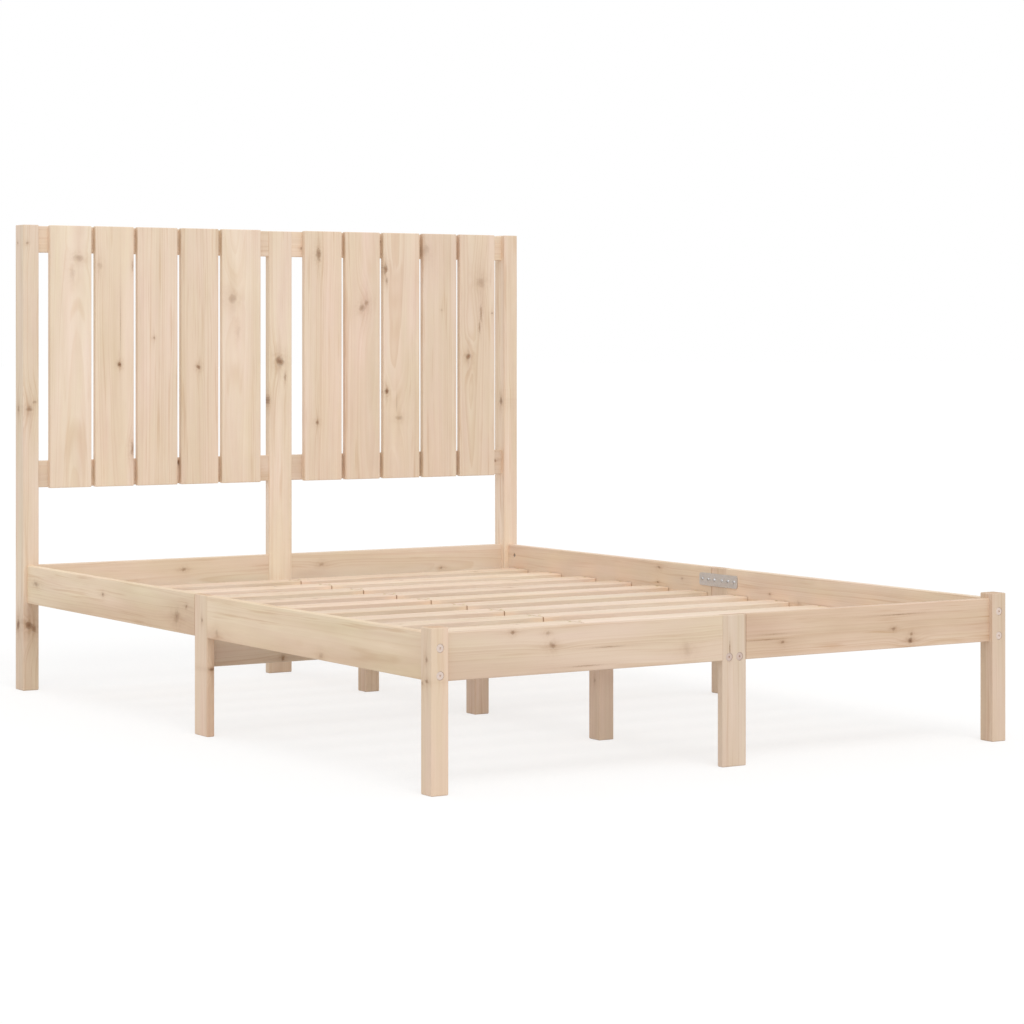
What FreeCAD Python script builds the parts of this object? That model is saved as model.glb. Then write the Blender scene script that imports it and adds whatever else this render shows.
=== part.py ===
import FreeCAD, Part
import math
import os
import re

import Sketcher

# Slatted double bed frame in planed pine, standing on the floor.
# Origin: on the floor, at the centre of the frame's outline.
# +X is the right side seen from the foot end, +Y the head end, +Z up.
# Rails are tenoned between the legs and posts, and bolts through the corner legs and posts
# draw the side rails and the centre beam up against barrel nuts.

# Driving sizes in millimetres: name, value, meaning
SIZES = (
    ("mattress_width", 1350, "width of the mattress that the frame takes"),
    ("mattress_length", 1900, "length of the mattress that the frame takes"),
    ("rail_thickness", 17.5, "thickness of every rail and beam board"),
    ("rail_height", 90, "height of the side, foot and head end rails"),
    ("rail_floor_gap", 210, "clear height under the side and foot rails"),
    ("rail_inset", 10, "how far the rails stand back from the corner legs' outer faces"),
    ("leg_width", 37, "square leg, across the bed"),
    ("leg_depth", 39, "square leg, along the bed"),
    ("leg_rise", 11, "how far the foot corner legs stand above the rails"),
    ("side_mid_leg_width", 60, "flat leg between two side rails"),
    ("foot_mid_leg_width", 58, "flat leg between the foot rails"),
    ("post_width", 40, "head post, across the bed"),
    ("post_depth", 48, "head post, along the bed"),
    ("post_height", 1120, "head posts and headboard boards end at this height"),
    ("post_lead", 12.5, "how far the head posts stand in front of the centre post"),
    ("centre_post_width", 65, "flat centre post of the headboard"),
    ("headboard_rail_height", 64, "height of the headboard rails"),
    ("board_thickness", 15, "headboard board"),
    ("board_rise", 185, "from the head end rails' top to the headboard boards' lower ends"),
    ("board_gap", 10.5, "gap between two boards"),
    ("board_margin", 30, "gap between a bay's outer boards and its posts"),
    ("board_step", 6, "how much narrower every second board is"),
    ("board_overhang", 2, "how far the boards reach past the headboard rails"),
    ("ledger_width", 20, "strip inside a side rail that carries the slats"),
    ("ledger_height", 15.5, "strip inside a side rail that carries the slats"),
    ("ledger_nut_gap", 10, "bare rail between a barrel nut's hole and the ledger"),
    ("ledger_mid_gap", 2, "bare rail between a mid leg and the ledger"),
    ("slat_width", 70, "slat, along the bed"),
    ("slat_thickness", 14, "slat"),
    ("slat_margin", 40, "from the recess's end to the first and last slat"),
    ("slat_end_gap", 1.5, "gap at each end of a slat"),
    ("beam_width", 58, "flat centre beam, across the bed"),
    ("cross_beam_height", 62, "beam from a side mid leg to the middle centre leg"),
    ("centre_leg_spacing", 498, "distance between centre legs"),
    ("edge_bevel", 1.5, "eased edge on every board, leg and post"),
    ("tenon_cheek", 4.75, "rail left on each side of a tenon"),
    ("tenon_cover", 5, "wood left past a mortise in the side mid leg"),
    ("tenon_shoulder", 12, "rail left above and below a tenon"),
    ("tenon_bolt_wall", 3, "wood left between a bolt hole and the height of a tenon"),
    ("tenon_play", 0.2, "gap on each side of a tenon in its mortise"),
    ("tenon_end_play", 0.5, "gap past a tenon's end in its mortise"),
    ("bolt_diameter", 6, "bolt shank"),
    ("bolt_head_diameter", 16, "flat round bolt head"),
    ("bolt_head_height", 3, "flat round bolt head"),
    ("bolt_head_sink", 3.4, "depth of the recess for a bolt head"),
    ("bolt_play", 0.3, "gap round a bolt and its head"),
    ("bolt_tail", 8, "bolt past the middle of its barrel nut"),
    ("bolt_tail_play", 2, "gap past the bolt's tip in its hole"),
    ("hex_key_width", 4, "hexagon socket across its flats"),
    ("hex_key_depth", 2, "hexagon socket"),
    ("bolt_high_drop", 27, "from a rail's top edge to the upper bolt"),
    ("bolt_low_rise", 12, "from a rail's bottom edge to the lower bolt"),
    ("beam_bolt_spacing", 25.4, "between the two bolts at each end of the centre beam"),
    ("nut_wall", 2, "barrel nut's metal on each side of the bolt"),
    ("nut_cover", 2.25, "wood left past each end of a barrel nut"),
    ("nut_play", 0.15, "gap round a barrel nut, and round the bolt in it"),
    ("nut_setback", 30, "from a rail's end to its barrel nut"),
    ("plate_length", 150, "flat joining plate behind a mid leg"),
    ("plate_height", 30, "flat joining plate"),
    ("plate_thickness", 2, "flat joining plate"),
    ("plate_corner", 4, "corners cut off a joining plate"),
    ("plate_hole", 4.5, "screw hole of a joining plate"),
    ("plate_hole_edge", 12, "from a plate's end to its first screw hole"),
    ("plate_hole_pitch", 24, "between the screw holes of one half of a plate"),
)

# Counts of what repeats
SLAT_ROWS = 12
PLATE_HOLES_EACH_HALF = 3
BAY_BOARDS = ("wide_board", "narrow_board", "wide_board", "narrow_board", "wide_board")

# Sides of the prisms that stand for the rounds hidden inside the wood
SHANK_SIDES = 12
NUT_SIDES = 16
SOCKET_SIDES = 6

# Share of its own volume that every tenon, mortise and hole has to add or take away
LEAST_CHANGE_SHARE = 0.5
# Share of an edge's length by which it may lean and still count as running along an axis
LEAN_SHARE = 0.001

# Sizes and places that follow from the driving sizes
DERIVED = {
    "overall_width": "mattress_width + 2 * (rail_thickness + rail_inset)",
    "overall_length": "rail_inset + rail_thickness + mattress_length - post_lead + post_depth",
    "right_face": "overall_width / 2",
    "left_face": "0 - overall_width / 2",
    "foot_face": "0 - overall_length / 2",
    "head_face": "overall_length / 2",
    "leg_back": "foot_face + leg_depth",
    "post_front": "head_face - post_depth",
    "recess_foot": "foot_face + rail_inset + rail_thickness",
    "recess_head": "recess_foot + mattress_length",
    "rail_top": "rail_floor_gap + rail_height",
    "leg_height": "rail_top + leg_rise",
    "rail_middle": "rail_inset + rail_thickness / 2",
    "side_rail_length": "(post_front - leg_back - side_mid_leg_width) / 2",
    "side_middle": "(leg_back + post_front) / 2",
    "foot_rail_length": "(overall_width - 2 * leg_width - foot_mid_leg_width) / 2",
    "headboard_rail_front": "post_front + board_thickness",
    "headboard_rail_back": "headboard_rail_front + rail_thickness",
    "centre_post_depth": "headboard_rail_back - recess_head",
    "centre_post_height": "post_height - board_overhang",
    "bay_width": "(overall_width - centre_post_width) / 2 - post_width",
    "wide_board": "(bay_width - 2 * board_margin - %d * board_gap + %d * board_step) / %d"
                  % (len(BAY_BOARDS) - 1, BAY_BOARDS.count("narrow_board"), len(BAY_BOARDS)),
    "narrow_board": "wide_board - board_step",
    "board_foot": "rail_top + board_rise",
    "board_length": "post_height - board_foot",
    "low_headboard_rail": "board_foot + board_overhang",
    "top_headboard_rail": "post_height - board_overhang - headboard_rail_height",
    "slat_underside": "rail_floor_gap + ledger_height",
    "slat_length": "mattress_width / 2 - 2 * slat_end_gap",
    "slat_pitch": "(mattress_length - 2 * slat_margin - slat_width) / %d" % (SLAT_ROWS - 1),
    "beam_underside": "slat_underside - rail_thickness",
    "beam_middle": "slat_underside - rail_thickness / 2",
    "cross_beam_underside": "beam_underside - cross_beam_height",
    "cross_beam_length": "mattress_width / 2 - leg_width / 2",
    "high_bolt_rise": "rail_height - bolt_high_drop",
    "low_bolt": "rail_floor_gap + bolt_low_rise",
    "high_bolt": "rail_floor_gap + high_bolt_rise",
    "bolt_hole": "bolt_diameter + 2 * bolt_play",
    "bolt_head_hole": "bolt_head_diameter + 2 * bolt_play",
    "bolt_hole_depth": "nut_setback + bolt_tail + bolt_tail_play",
    "bolt_head_face": "bolt_head_sink - bolt_head_height",
    "nut_diameter": "bolt_diameter + 2 * nut_wall",
    "nut_length": "rail_thickness - 2 * nut_cover",
    "nut_hole": "nut_diameter + 2 * nut_play",
    "nut_hole_depth": "rail_thickness - nut_cover",
    "ledger_end_gap": "nut_setback + nut_hole / 2 + ledger_nut_gap",
    "mortise_depth": "rail_thickness - tenon_cover",
    "tenon_length": "mortise_depth - tenon_end_play",
    "tenon_thickness": "rail_thickness - 2 * tenon_cheek",
    "mortise_width": "tenon_thickness + 2 * tenon_play",
}

# Bottom and top of a tenon over its board's lower edge
RAIL_TENON = ("bolt_low_rise + bolt_hole / 2 + tenon_bolt_wall",
              "high_bolt_rise - bolt_hole / 2 - tenon_bolt_wall")
HEADBOARD_TENON = ("tenon_shoulder", "headboard_rail_height - tenon_shoulder")
CROSS_BEAM_TENON = ("tenon_shoulder", "cross_beam_height - tenon_shoulder")

# Lower edge and tenon of the boards that stand between the posts
HEAD_RAILS = (
    ("head_end_rail_", "rail_floor_gap", "rail_height", RAIL_TENON),
    ("headboard_low_rail_", "low_headboard_rail", "headboard_rail_height", HEADBOARD_TENON),
    ("headboard_top_rail_", "top_headboard_rail", "headboard_rail_height", HEADBOARD_TENON),
)

WORD = re.compile(r"[a-z][a-z_]*")
AXES = ("x", "y", "z")
# The origin plane square to each axis, the two axes that lie in it, and the way its normal points
PLANES = {
    "x": ("YZ_Plane", ("y", "z"), 1),
    "y": ("XZ_Plane", ("x", "z"), -1),
    "z": ("XY_Plane", ("x", "y"), 1),
}
SIDES = ("left", "right")

doc = FreeCAD.newDocument("bed_frame")
sheet = doc.addObject("Spreadsheet::Sheet", "Sizes")
for row, (name, value, meaning) in enumerate(SIZES, start=1):
    sheet.set("A%d" % row, str(value))
    sheet.setAlias("A%d" % row, name)
    sheet.set("B%d" % row, meaning)
doc.recompute()

pieces = {}
steps = []


def expression(text):
    """Spell out a rule in words as references to the sheet."""
    def spelled_out(match):
        word = match.group(0)
        if word in DERIVED:
            return "(" + expression(DERIVED[word]) + ")"
        return "Sizes." + word
    return WORD.sub(spelled_out, text)


def number(text):
    """The present value of a rule, in millimetres."""
    return float(sheet.evalExpression(expression(text)))


def bind(thing, path, text):
    thing.setExpression(path, expression(text))


def new_body(label):
    body = doc.addObject("PartDesign::Body", label)
    body.Label = label
    return body


def new_step(body, kind):
    """A feature that adds to the body or takes from it."""
    before = body.Tip
    feature = body.newObject("PartDesign::" + kind, body.Name + "_" + kind.lower())
    if before:
        steps.append((before, feature))
    return feature


def attach(feature, body, axis, offset):
    """Lay a sketch or primitive on the body's plane square to an axis, moved by three rules."""
    role = PLANES[axis][0]
    plane = next(part for part in body.Origin.OriginFeatures if part.Role == role)
    feature.AttachmentSupport = (plane, "")
    feature.MapMode = "FlatFace"
    for name, text in zip(AXES, offset):
        bind(feature, ".AttachmentOffset.Base." + name, text)


def stand(feature, body, axis, place, low, high):
    """Stand a primitive along an axis from low to high, over a place in the plane square to it."""
    start = low if PLANES[axis][2] > 0 else "0 - (" + high + ")"
    attach(feature, body, axis, (place[0], place[1], start))
    bind(feature, "Height", "(" + high + ") - (" + low + ")")


def box(body, kind, low, high):
    """Add or cut a box between two corners."""
    feature = new_step(body, kind + "Box")
    attach(feature, body, "z", low)
    for name, start, end in zip(("Length", "Width", "Height"), low, high):
        bind(feature, name, "(" + end + ") - (" + start + ")")
    return feature


def cylinder(body, kind, axis, place, low, high, diameter):
    feature = new_step(body, kind + "Cylinder")
    stand(feature, body, axis, place, low, high)
    bind(feature, "Radius", "(" + diameter + ") / 2")
    return feature


def prism(body, kind, axis, place, low, high, sides, corner_radius):
    feature = new_step(body, kind + "Prism")
    feature.Polygon = sides
    stand(feature, body, axis, place, low, high)
    bind(feature, "Circumradius", corner_radius)
    return feature


def clear_of(diameter, sides):
    """Corner radius of a prism whose flats just clear a round of this diameter."""
    return "(%s) / 2 * %.8f" % (diameter, 1 / math.cos(math.pi / sides))


def along(shape, axis):
    """Names of the edges that run along an axis."""
    direction = FreeCAD.Vector(*[float(axis == other) for other in AXES])
    names = []
    for i, edge in enumerate(shape.Edges, start=1):
        run = edge.lastVertex().Point - edge.firstVertex().Point
        if run.cross(direction).Length < run.Length * LEAN_SHARE:
            names.append("Edge%d" % i)
    return names


def draw_rectangle(sketch, width, height, start):
    """A rectangle that stands on the sketch's first axis, at a distance along it."""
    low, wide, high = number(start), number(width), number(height)
    corners = [(low, 0), (low + wide, 0), (low + wide, high), (low, high)]
    points = [FreeCAD.Vector(u, v, 0) for u, v in corners]
    lines = [Part.LineSegment(points[i], points[(i + 1) % 4]) for i in range(4)]
    first = sketch.addGeometry(lines, False)[0]
    for i in range(4):
        joint = (first + i, 2, first + (i + 1) % 4, 1)
        sketch.addConstraint(Sketcher.Constraint("Coincident", *joint))
        direction = "Horizontal" if i % 2 == 0 else "Vertical"
        sketch.addConstraint(Sketcher.Constraint(direction, first + i))
    sizes = []
    if start == "0":
        sketch.addConstraint(Sketcher.Constraint("Coincident", first, 1, -1, 1))
    else:
        sketch.addConstraint(Sketcher.Constraint("PointOnObject", first, 1, -1))
        sizes.append(("DistanceX", (-1, 1, first, 1), start))
    sizes.append(("DistanceX", (first, 1, first, 2), width))
    sizes.append(("DistanceY", (first + 1, 1, first + 1, 2), height))
    for kind, ends, text in sizes:
        index = sketch.addConstraint(Sketcher.Constraint(kind, *ends, number(text)))
        bind(sketch, "Constraints[%d]" % index, text)


def timber(label, axis, low, size, all_edges=False, starts=("0",)):
    """A planed board padded along an axis from its lowest corner, with eased edges.

    The ends keep sharp edges where they meet another piece. starts says where each board of
    a group begins along the sketch's first axis.
    """
    body = new_body(label)
    for name, text in zip(AXES, low):
        bind(body, ".Placement.Base." + name, text)
    sketch = body.newObject("Sketcher::SketchObject", label + "_sketch")
    attach(sketch, body, axis, ("0", "0", "0"))
    across = dict(zip(AXES, size))
    u, v = PLANES[axis][1]
    for start in starts:
        draw_rectangle(sketch, across[u], across[v], start)
    block = body.newObject("PartDesign::Pad", label + "_pad")
    block.Profile = sketch
    block.Reversed = PLANES[axis][2] < 0
    bind(block, "Length", across[axis])
    doc.recompute()
    grain = max(AXES, key=lambda other: number(across[other]))
    edges = []
    for other in AXES:
        if all_edges or other == grain:
            edges += along(block.Shape, other)
    eased = body.newObject("PartDesign::Chamfer", label + "_eased_edges")
    eased.Base = (block, edges)
    bind(eased, "Size", "edge_bevel")
    pieces[label] = body
    return body


def span(size, face, depth):
    """Low and high end of a cut into a face such as -y or +z, in the body's own frame."""
    thickness = size[AXES.index(face[1])]
    if face[0] == "-":
        return "0", depth
    return "(" + thickness + ") - (" + depth + ")", thickness


def hidden_hole(body, size, face, place, diameter, sides, depth=None):
    """A hole into a face, right through unless it has a depth."""
    low, high = span(size, face, depth or size[AXES.index(face[1])])
    prism(body, "Subtractive", face[1], place, low, high, sides, clear_of(diameter, sides))


def bolt_hole(body, size, face, place):
    """A bolt's hole right through, with a recess for its head."""
    low, high = span(size, face, "bolt_head_sink")
    cylinder(body, "Subtractive", face[1], place, low, high, "bolt_head_hole")
    hidden_hole(body, size, face, place, "bolt_hole", SHANK_SIDES)


def nut_joint(body, size, end, side_face, end_place, nut_place):
    """A bolt's hole in the end of a rail or beam, and the barrel nut's hole across it."""
    hidden_hole(body, size, end, end_place, "bolt_hole", SHANK_SIDES, "bolt_hole_depth")
    hidden_hole(body, size, side_face, nut_place, "nut_hole", NUT_SIDES, "nut_hole_depth")


def tenon(body, size, end, heights):
    """A stub tenon on the end of a rail or beam that runs along X or Y."""
    axis = end[1]
    length = size[AXES.index(axis)]
    run = ("0 - tenon_length", "0") if end[0] == "-" else (length, length + " + tenon_length")
    cheeks = ("tenon_cheek", "rail_thickness - tenon_cheek")
    x, y = (run, cheeks) if axis == "x" else (cheeks, run)
    box(body, "Additive", (x[0], y[0], heights[0]), (x[1], y[1], heights[1]))


def mortise(body, size, face, middle, edge, heights):
    """The pocket for a tenon in an upright face, for a board whose lower edge is at a height."""
    run = span(size, face, "mortise_depth")
    width = (middle + " - mortise_width / 2", middle + " + mortise_width / 2")
    x, y = (run, width) if face[1] == "x" else (width, run)
    bottom = edge + " + " + heights[0] + " - tenon_play"
    top = edge + " + " + heights[1] + " + tenon_play"
    box(body, "Subtractive", (x[0], y[0], bottom), (x[1], y[1], top))


def from_side(side, offset, width):
    """Lowest X of a piece that lies an offset in from the left or right face."""
    if side == "left":
        return "left_face + " + offset
    return "right_face - " + offset + " - " + width


def corner_uprights():
    """Foot corner legs and head posts, bolted to the side rails from outside."""
    head_joints = [(edge, heights) for prefix, edge, height, heights in HEAD_RAILS]
    kinds = (
        ("foot_corner_leg_", ("leg_width", "leg_depth", "leg_height"), "foot_face", "-y",
         "rail_middle", [("rail_floor_gap", RAIL_TENON)]),
        ("head_post_", ("post_width", "post_depth", "post_height"), "post_front", "+y",
         "board_thickness + rail_thickness / 2", head_joints),
    )
    for prefix, size, front, bolt_face, mortise_middle, joints in kinds:
        for side in SIDES:
            low = (from_side(side, "0", size[0]), front, "0")
            body = timber(prefix + side, "z", low, size, all_edges=True)
            bolt_x = "rail_middle" if side == "left" else size[0] + " - rail_middle"
            for bolt_z in ("low_bolt", "high_bolt"):
                bolt_hole(body, size, bolt_face, (bolt_x, bolt_z))
            inner = "+x" if side == "left" else "-x"
            for edge, heights in joints:
                mortise(body, size, inner, mortise_middle, edge, heights)


def beam_bolt_places(width):
    """X of the two beam bolts in a piece of this width on the centre line."""
    return [width + " / 2 " + way + " beam_bolt_spacing / 2" for way in "-+"]


def centre_post():
    """Flat post between the headboard's halves, from the floor to the rails' tops."""
    size = ("centre_post_width", "centre_post_depth", "centre_post_height")
    low = ("0 - centre_post_width / 2", "recess_head", "0")
    body = timber("head_centre_post", "z", low, size, all_edges=True)
    for x in beam_bolt_places(size[0]):
        bolt_hole(body, size, "+y", (x, "beam_middle"))
    middle = "(centre_post_depth - rail_thickness / 2)"
    for prefix, edge, height, heights in HEAD_RAILS:
        for face in ("-x", "+x"):
            mortise(body, size, face, middle, edge, heights)


def head_rails():
    """Headboard rails and head end rails, in halves between the posts."""
    for prefix, edge, height, heights in HEAD_RAILS:
        for side in SIDES:
            size = ("bay_width", "rail_thickness", height)
            low = (from_side(side, "post_width", "bay_width"), "headboard_rail_front", edge)
            body = timber(prefix + side, "x", low, size)
            for end in ("-x", "+x"):
                tenon(body, size, end, heights)


def headboard_boards():
    """Upright boards in each bay, wide and narrow by turns, flush with the posts' fronts."""
    count = 0
    for side in SIDES:
        start = from_side(side, "post_width", "bay_width") + " + board_margin"
        for width in BAY_BOARDS:
            count += 1
            size = (width, "board_thickness", "board_length")
            low = (start, "post_front", "board_foot")
            timber("headboard_board_%02d" % count, "z", low, size, all_edges=True)
            start += " + " + width + " + board_gap"


def side_rails():
    """Two rails on each side, with a ledger inside each."""
    size = ("rail_thickness", "side_rail_length", "rail_height")
    ledger = ("ledger_width", "side_rail_length - ledger_end_gap - ledger_mid_gap", "ledger_height")
    # Half, Y of its foot end, bolted end, Y of its nuts, tenoned end, bare rail before the ledger
    halves = (
        ("foot", "leg_back", "-y", "nut_setback", "+y", "ledger_end_gap"),
        ("head", "post_front - side_rail_length", "+y", "side_rail_length - nut_setback", "-y",
         "ledger_mid_gap"),
    )
    for side in SIDES:
        inner = "+x" if side == "left" else "-x"
        x = from_side(side, "rail_inset", "rail_thickness")
        ledger_x = from_side(side, "(rail_inset + rail_thickness)", "ledger_width")
        for half, start, bolted, nut_y, tenoned, bare in halves:
            low = (x, start, "rail_floor_gap")
            body = timber("side_rail_%s_%s" % (side, half), "y", low, size)
            for height in ("bolt_low_rise", "high_bolt_rise"):
                end_place = ("rail_thickness / 2", height)
                nut_joint(body, size, bolted, inner, end_place, (nut_y, height))
            tenon(body, size, tenoned, RAIL_TENON)
            low = (ledger_x, start + " + " + bare, "rail_floor_gap")
            timber("slat_ledger_%s_%s" % (side, half), "y", low, ledger)


def side_mid_legs():
    """Flat legs between the side rails, which also take the cross beams."""
    size = ("rail_thickness", "side_mid_leg_width", "rail_top")
    for side in SIDES:
        x = from_side(side, "rail_inset", "rail_thickness")
        low = (x, "side_middle - side_mid_leg_width / 2", "0")
        body = timber("side_mid_leg_" + side, "z", low, size, all_edges=True)
        for face in ("-y", "+y"):
            mortise(body, size, face, "rail_thickness / 2", "rail_floor_gap", RAIL_TENON)
        inner = "+x" if side == "left" else "-x"
        middle = "side_mid_leg_width / 2"
        mortise(body, size, inner, middle, "cross_beam_underside", CROSS_BEAM_TENON)


def foot_end():
    """Foot rails and the flat mid leg between them, bolted to the centre beam."""
    y = "foot_face + rail_inset"
    size = ("foot_rail_length", "rail_thickness", "rail_height")
    for side in SIDES:
        low = (from_side(side, "leg_width", "foot_rail_length"), y, "rail_floor_gap")
        body = timber("foot_rail_" + side, "x", low, size)
        for end in ("-x", "+x"):
            tenon(body, size, end, RAIL_TENON)
    size = ("foot_mid_leg_width", "rail_thickness", "rail_top")
    low = ("0 - foot_mid_leg_width / 2", y, "0")
    body = timber("foot_mid_leg", "z", low, size, all_edges=True)
    for x in beam_bolt_places(size[0]):
        bolt_hole(body, size, "-y", (x, "beam_middle"))
    for face in ("-x", "+x"):
        mortise(body, size, face, "rail_thickness / 2", "rail_floor_gap", RAIL_TENON)


def centre_beam():
    """The flat beam on the centre line, in two halves, bolted at its outer ends."""
    # Half, its foot end and its length, bolted end
    halves = (
        ("foot", "recess_foot", "(side_middle - recess_foot)", "-y"),
        ("head", "side_middle", "(recess_head - side_middle)", "+y"),
    )
    for half, start, length, bolted in halves:
        size = ("beam_width", length, "rail_thickness")
        low = ("0 - beam_width / 2", start, "beam_underside")
        body = timber("centre_beam_" + half, "y", low, size)
        nut_y = "nut_setback" if bolted == "-y" else length + " - nut_setback"
        for x in beam_bolt_places(size[0]):
            nut_joint(body, size, bolted, "-z", (x, "rail_thickness / 2"), (x, nut_y))


def centre_legs():
    """Square legs under the centre beam; the middle one also takes the cross beams."""
    size = ("leg_width", "leg_depth", "beam_underside")
    middles = (
        ("foot", "side_middle - centre_leg_spacing"),
        ("middle", "side_middle"),
        ("head", "side_middle + centre_leg_spacing"),
    )
    for name, middle in middles:
        low = ("0 - leg_width / 2", middle + " - leg_depth / 2", "0")
        body = timber("centre_leg_" + name, "z", low, size, all_edges=True)
        if name == "middle":
            for face in ("-x", "+x"):
                mortise(body, size, face, "leg_depth / 2", "cross_beam_underside", CROSS_BEAM_TENON)


def cross_beams():
    """Upright boards from the side mid legs to the middle centre leg, under the centre beam."""
    size = ("cross_beam_length", "rail_thickness", "cross_beam_height")
    for side in SIDES:
        x = from_side(side, "(rail_inset + rail_thickness)", "cross_beam_length")
        low = (x, "side_middle - rail_thickness / 2", "cross_beam_underside")
        body = timber("cross_beam_" + side, "x", low, size)
        for end in ("-x", "+x"):
            tenon(body, size, end, CROSS_BEAM_TENON)


def slats():
    """Rows of two slats, each from a ledger to the middle of the centre beam."""
    size = ("slat_length", "slat_width", "slat_thickness")
    starts = ("slat_end_gap", "mattress_width / 2 + slat_end_gap")
    for row in range(SLAT_ROWS):
        y = "recess_foot + slat_margin + %d * slat_pitch" % row
        low = ("0 - mattress_width / 2", y, "slat_underside")
        timber("slat_row_%02d" % (row + 1), "z", low, size, starts=starts)


def bolt_master(name, grip):
    """A bolt along Z with its head's outer face at the origin, for a piece of this depth."""
    body = new_body(name)
    middle = ("0", "0")
    shank_end = "(" + grip + ") - bolt_head_face + nut_setback + bolt_tail"
    cylinder(body, "Additive", "z", middle, "0", "bolt_head_height", "bolt_head_diameter")
    shank_radius = "bolt_diameter / 2"
    prism(body, "Additive", "z", middle, "bolt_head_height", shank_end, SHANK_SIDES, shank_radius)
    socket_radius = clear_of("hex_key_width", SOCKET_SIDES)
    prism(body, "Subtractive", "z", middle, "0", "hex_key_depth", SOCKET_SIDES, socket_radius)
    return body


def nut_master():
    """A barrel nut along Z from the origin, with the bolt's hole across it along Y."""
    body = new_body("barrel_nut_master")
    prism(body, "Additive", "z", ("0", "0"), "0", "nut_length", NUT_SIDES, "nut_diameter / 2")
    radius = clear_of("bolt_diameter + 2 * nut_play", SHANK_SIDES)
    place = ("0", "nut_length / 2")
    ends = ("0 - nut_diameter / 2", "nut_diameter / 2")
    prism(body, "Subtractive", "y", place, ends[0], ends[1], SHANK_SIDES, radius)
    return body


def plate_master():
    """A flat plate along X from the origin, with a row of screw holes."""
    body = new_body("joining_plate_master")
    size = ("plate_length", "plate_thickness", "plate_height")
    block = box(body, "Additive", ("0", "0", "0"), size)
    doc.recompute()
    cut = body.newObject("PartDesign::Chamfer", "joining_plate_corners")
    cut.Base = (block, along(block.Shape, "y"))
    bind(cut, "Size", "plate_corner")
    for i in range(PLATE_HOLES_EACH_HALF):
        reach = "plate_hole_edge + %d * plate_hole_pitch" % i
        for x in (reach, "plate_length - (" + reach + ")"):
            hidden_hole(body, size, "-y", (x, "plate_height / 2"), "plate_hole", SHANK_SIDES)
    return body


def group(label, copies):
    """One object that holds equal pieces: a master, a place and a rotation for each."""
    shapes = []
    for master, place, rotation in copies:
        shape = master.Shape.copy()
        point = FreeCAD.Vector(*[number(text) for text in place])
        shape.Placement = FreeCAD.Placement(point, rotation)
        shapes.append(shape)
    feature = doc.addObject("Part::Feature", label)
    feature.Label = label
    feature.Shape = Part.makeCompound(shapes)
    feature.Placement = FreeCAD.Placement()
    pieces[label] = feature


def bolts_and_nuts():
    """Bolts from outside through legs and posts into barrel nuts in the rails and the beam."""
    leg_bolt = bolt_master("leg_bolt_master", "leg_depth")
    post_bolt = bolt_master("post_bolt_master", "post_depth")
    foot_beam_bolt = bolt_master("foot_beam_bolt_master", "rail_thickness")
    head_beam_bolt = bolt_master("head_beam_bolt_master", "centre_post_depth")
    nut = nut_master()
    doc.recompute()
    up = FreeCAD.Vector(0, 0, 1)
    headward = FreeCAD.Rotation(up, FreeCAD.Vector(0, 1, 0))
    footward = FreeCAD.Rotation(up, FreeCAD.Vector(0, -1, 0))
    lying = FreeCAD.Rotation(up, FreeCAD.Vector(1, 0, 0))
    upright = FreeCAD.Rotation()
    legs, posts, beams, nuts = [], [], [], []
    for x in ("(left_face + rail_middle)", "(right_face - rail_middle)"):
        for z in ("low_bolt", "high_bolt"):
            legs.append((leg_bolt, (x, "foot_face + bolt_head_face", z), headward))
            posts.append((post_bolt, (x, "head_face - bolt_head_face", z), footward))
            nut_x = x + " - nut_length / 2"
            nuts.append((nut, (nut_x, "leg_back + nut_setback", z), lying))
            nuts.append((nut, (nut_x, "post_front - nut_setback", z), lying))
    for x in beam_bolt_places("0"):
        front = "foot_face + rail_inset + bolt_head_face"
        back = "headboard_rail_back - bolt_head_face"
        beams.append((foot_beam_bolt, (x, front, "beam_middle"), headward))
        beams.append((head_beam_bolt, (x, back, "beam_middle"), footward))
        nut_z = "beam_middle - nut_length / 2"
        nuts.append((nut, (x, "recess_foot + nut_setback", nut_z), upright))
        nuts.append((nut, (x, "recess_head - nut_setback", nut_z), upright))
    group("leg_bolts", legs)
    group("post_bolts", posts)
    group("beam_bolts", beams)
    group("barrel_nuts", nuts)


def joining_plates():
    """A steel plate across each joint of two rails and a mid leg, on the inner side."""
    plate = plate_master()
    doc.recompute()
    z = "(slat_underside + slat_thickness + rail_top) / 2 - plate_height / 2"
    side_y = "side_middle - plate_length / 2"
    straight = FreeCAD.Rotation()
    turned = FreeCAD.Rotation(FreeCAD.Vector(1, 0, 0), FreeCAD.Vector(0, 1, 0))
    group("joining_plates", [
        (plate, ("0 - plate_length / 2", "recess_foot", z), straight),
        (plate, ("plate_thickness - mattress_width / 2", side_y, z), turned),
        (plate, ("mattress_width / 2", side_y, z), turned),
    ])


def check_and_export():
    """Stop on any failed feature, then write one file for each piece."""
    doc.recompute()
    for thing in doc.Objects:
        if "Invalid" in thing.State or "Error" in thing.State:
            raise RuntimeError("failed object: " + thing.Label)
    for before, after in steps:
        change = abs(before.Shape.Volume - after.Shape.Volume)
        if change < after.AddSubShape.Volume * LEAST_CHANGE_SHARE:
            raise RuntimeError("a step changes too little: " + after.Label)
    os.makedirs("parts", exist_ok=True)
    for label, piece in pieces.items():
        shape = piece.Shape
        if shape.isNull() or not shape.isValid():
            raise RuntimeError("bad shape: " + label)
        shape.exportStep("parts/%s.step" % label)
    print("pieces:", len(pieces))


corner_uprights()
centre_post()
head_rails()
headboard_boards()
side_rails()
side_mid_legs()
foot_end()
centre_beam()
centre_legs()
cross_beams()
slats()
bolts_and_nuts()
joining_plates()
check_and_export()
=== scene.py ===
import math
import random

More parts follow.
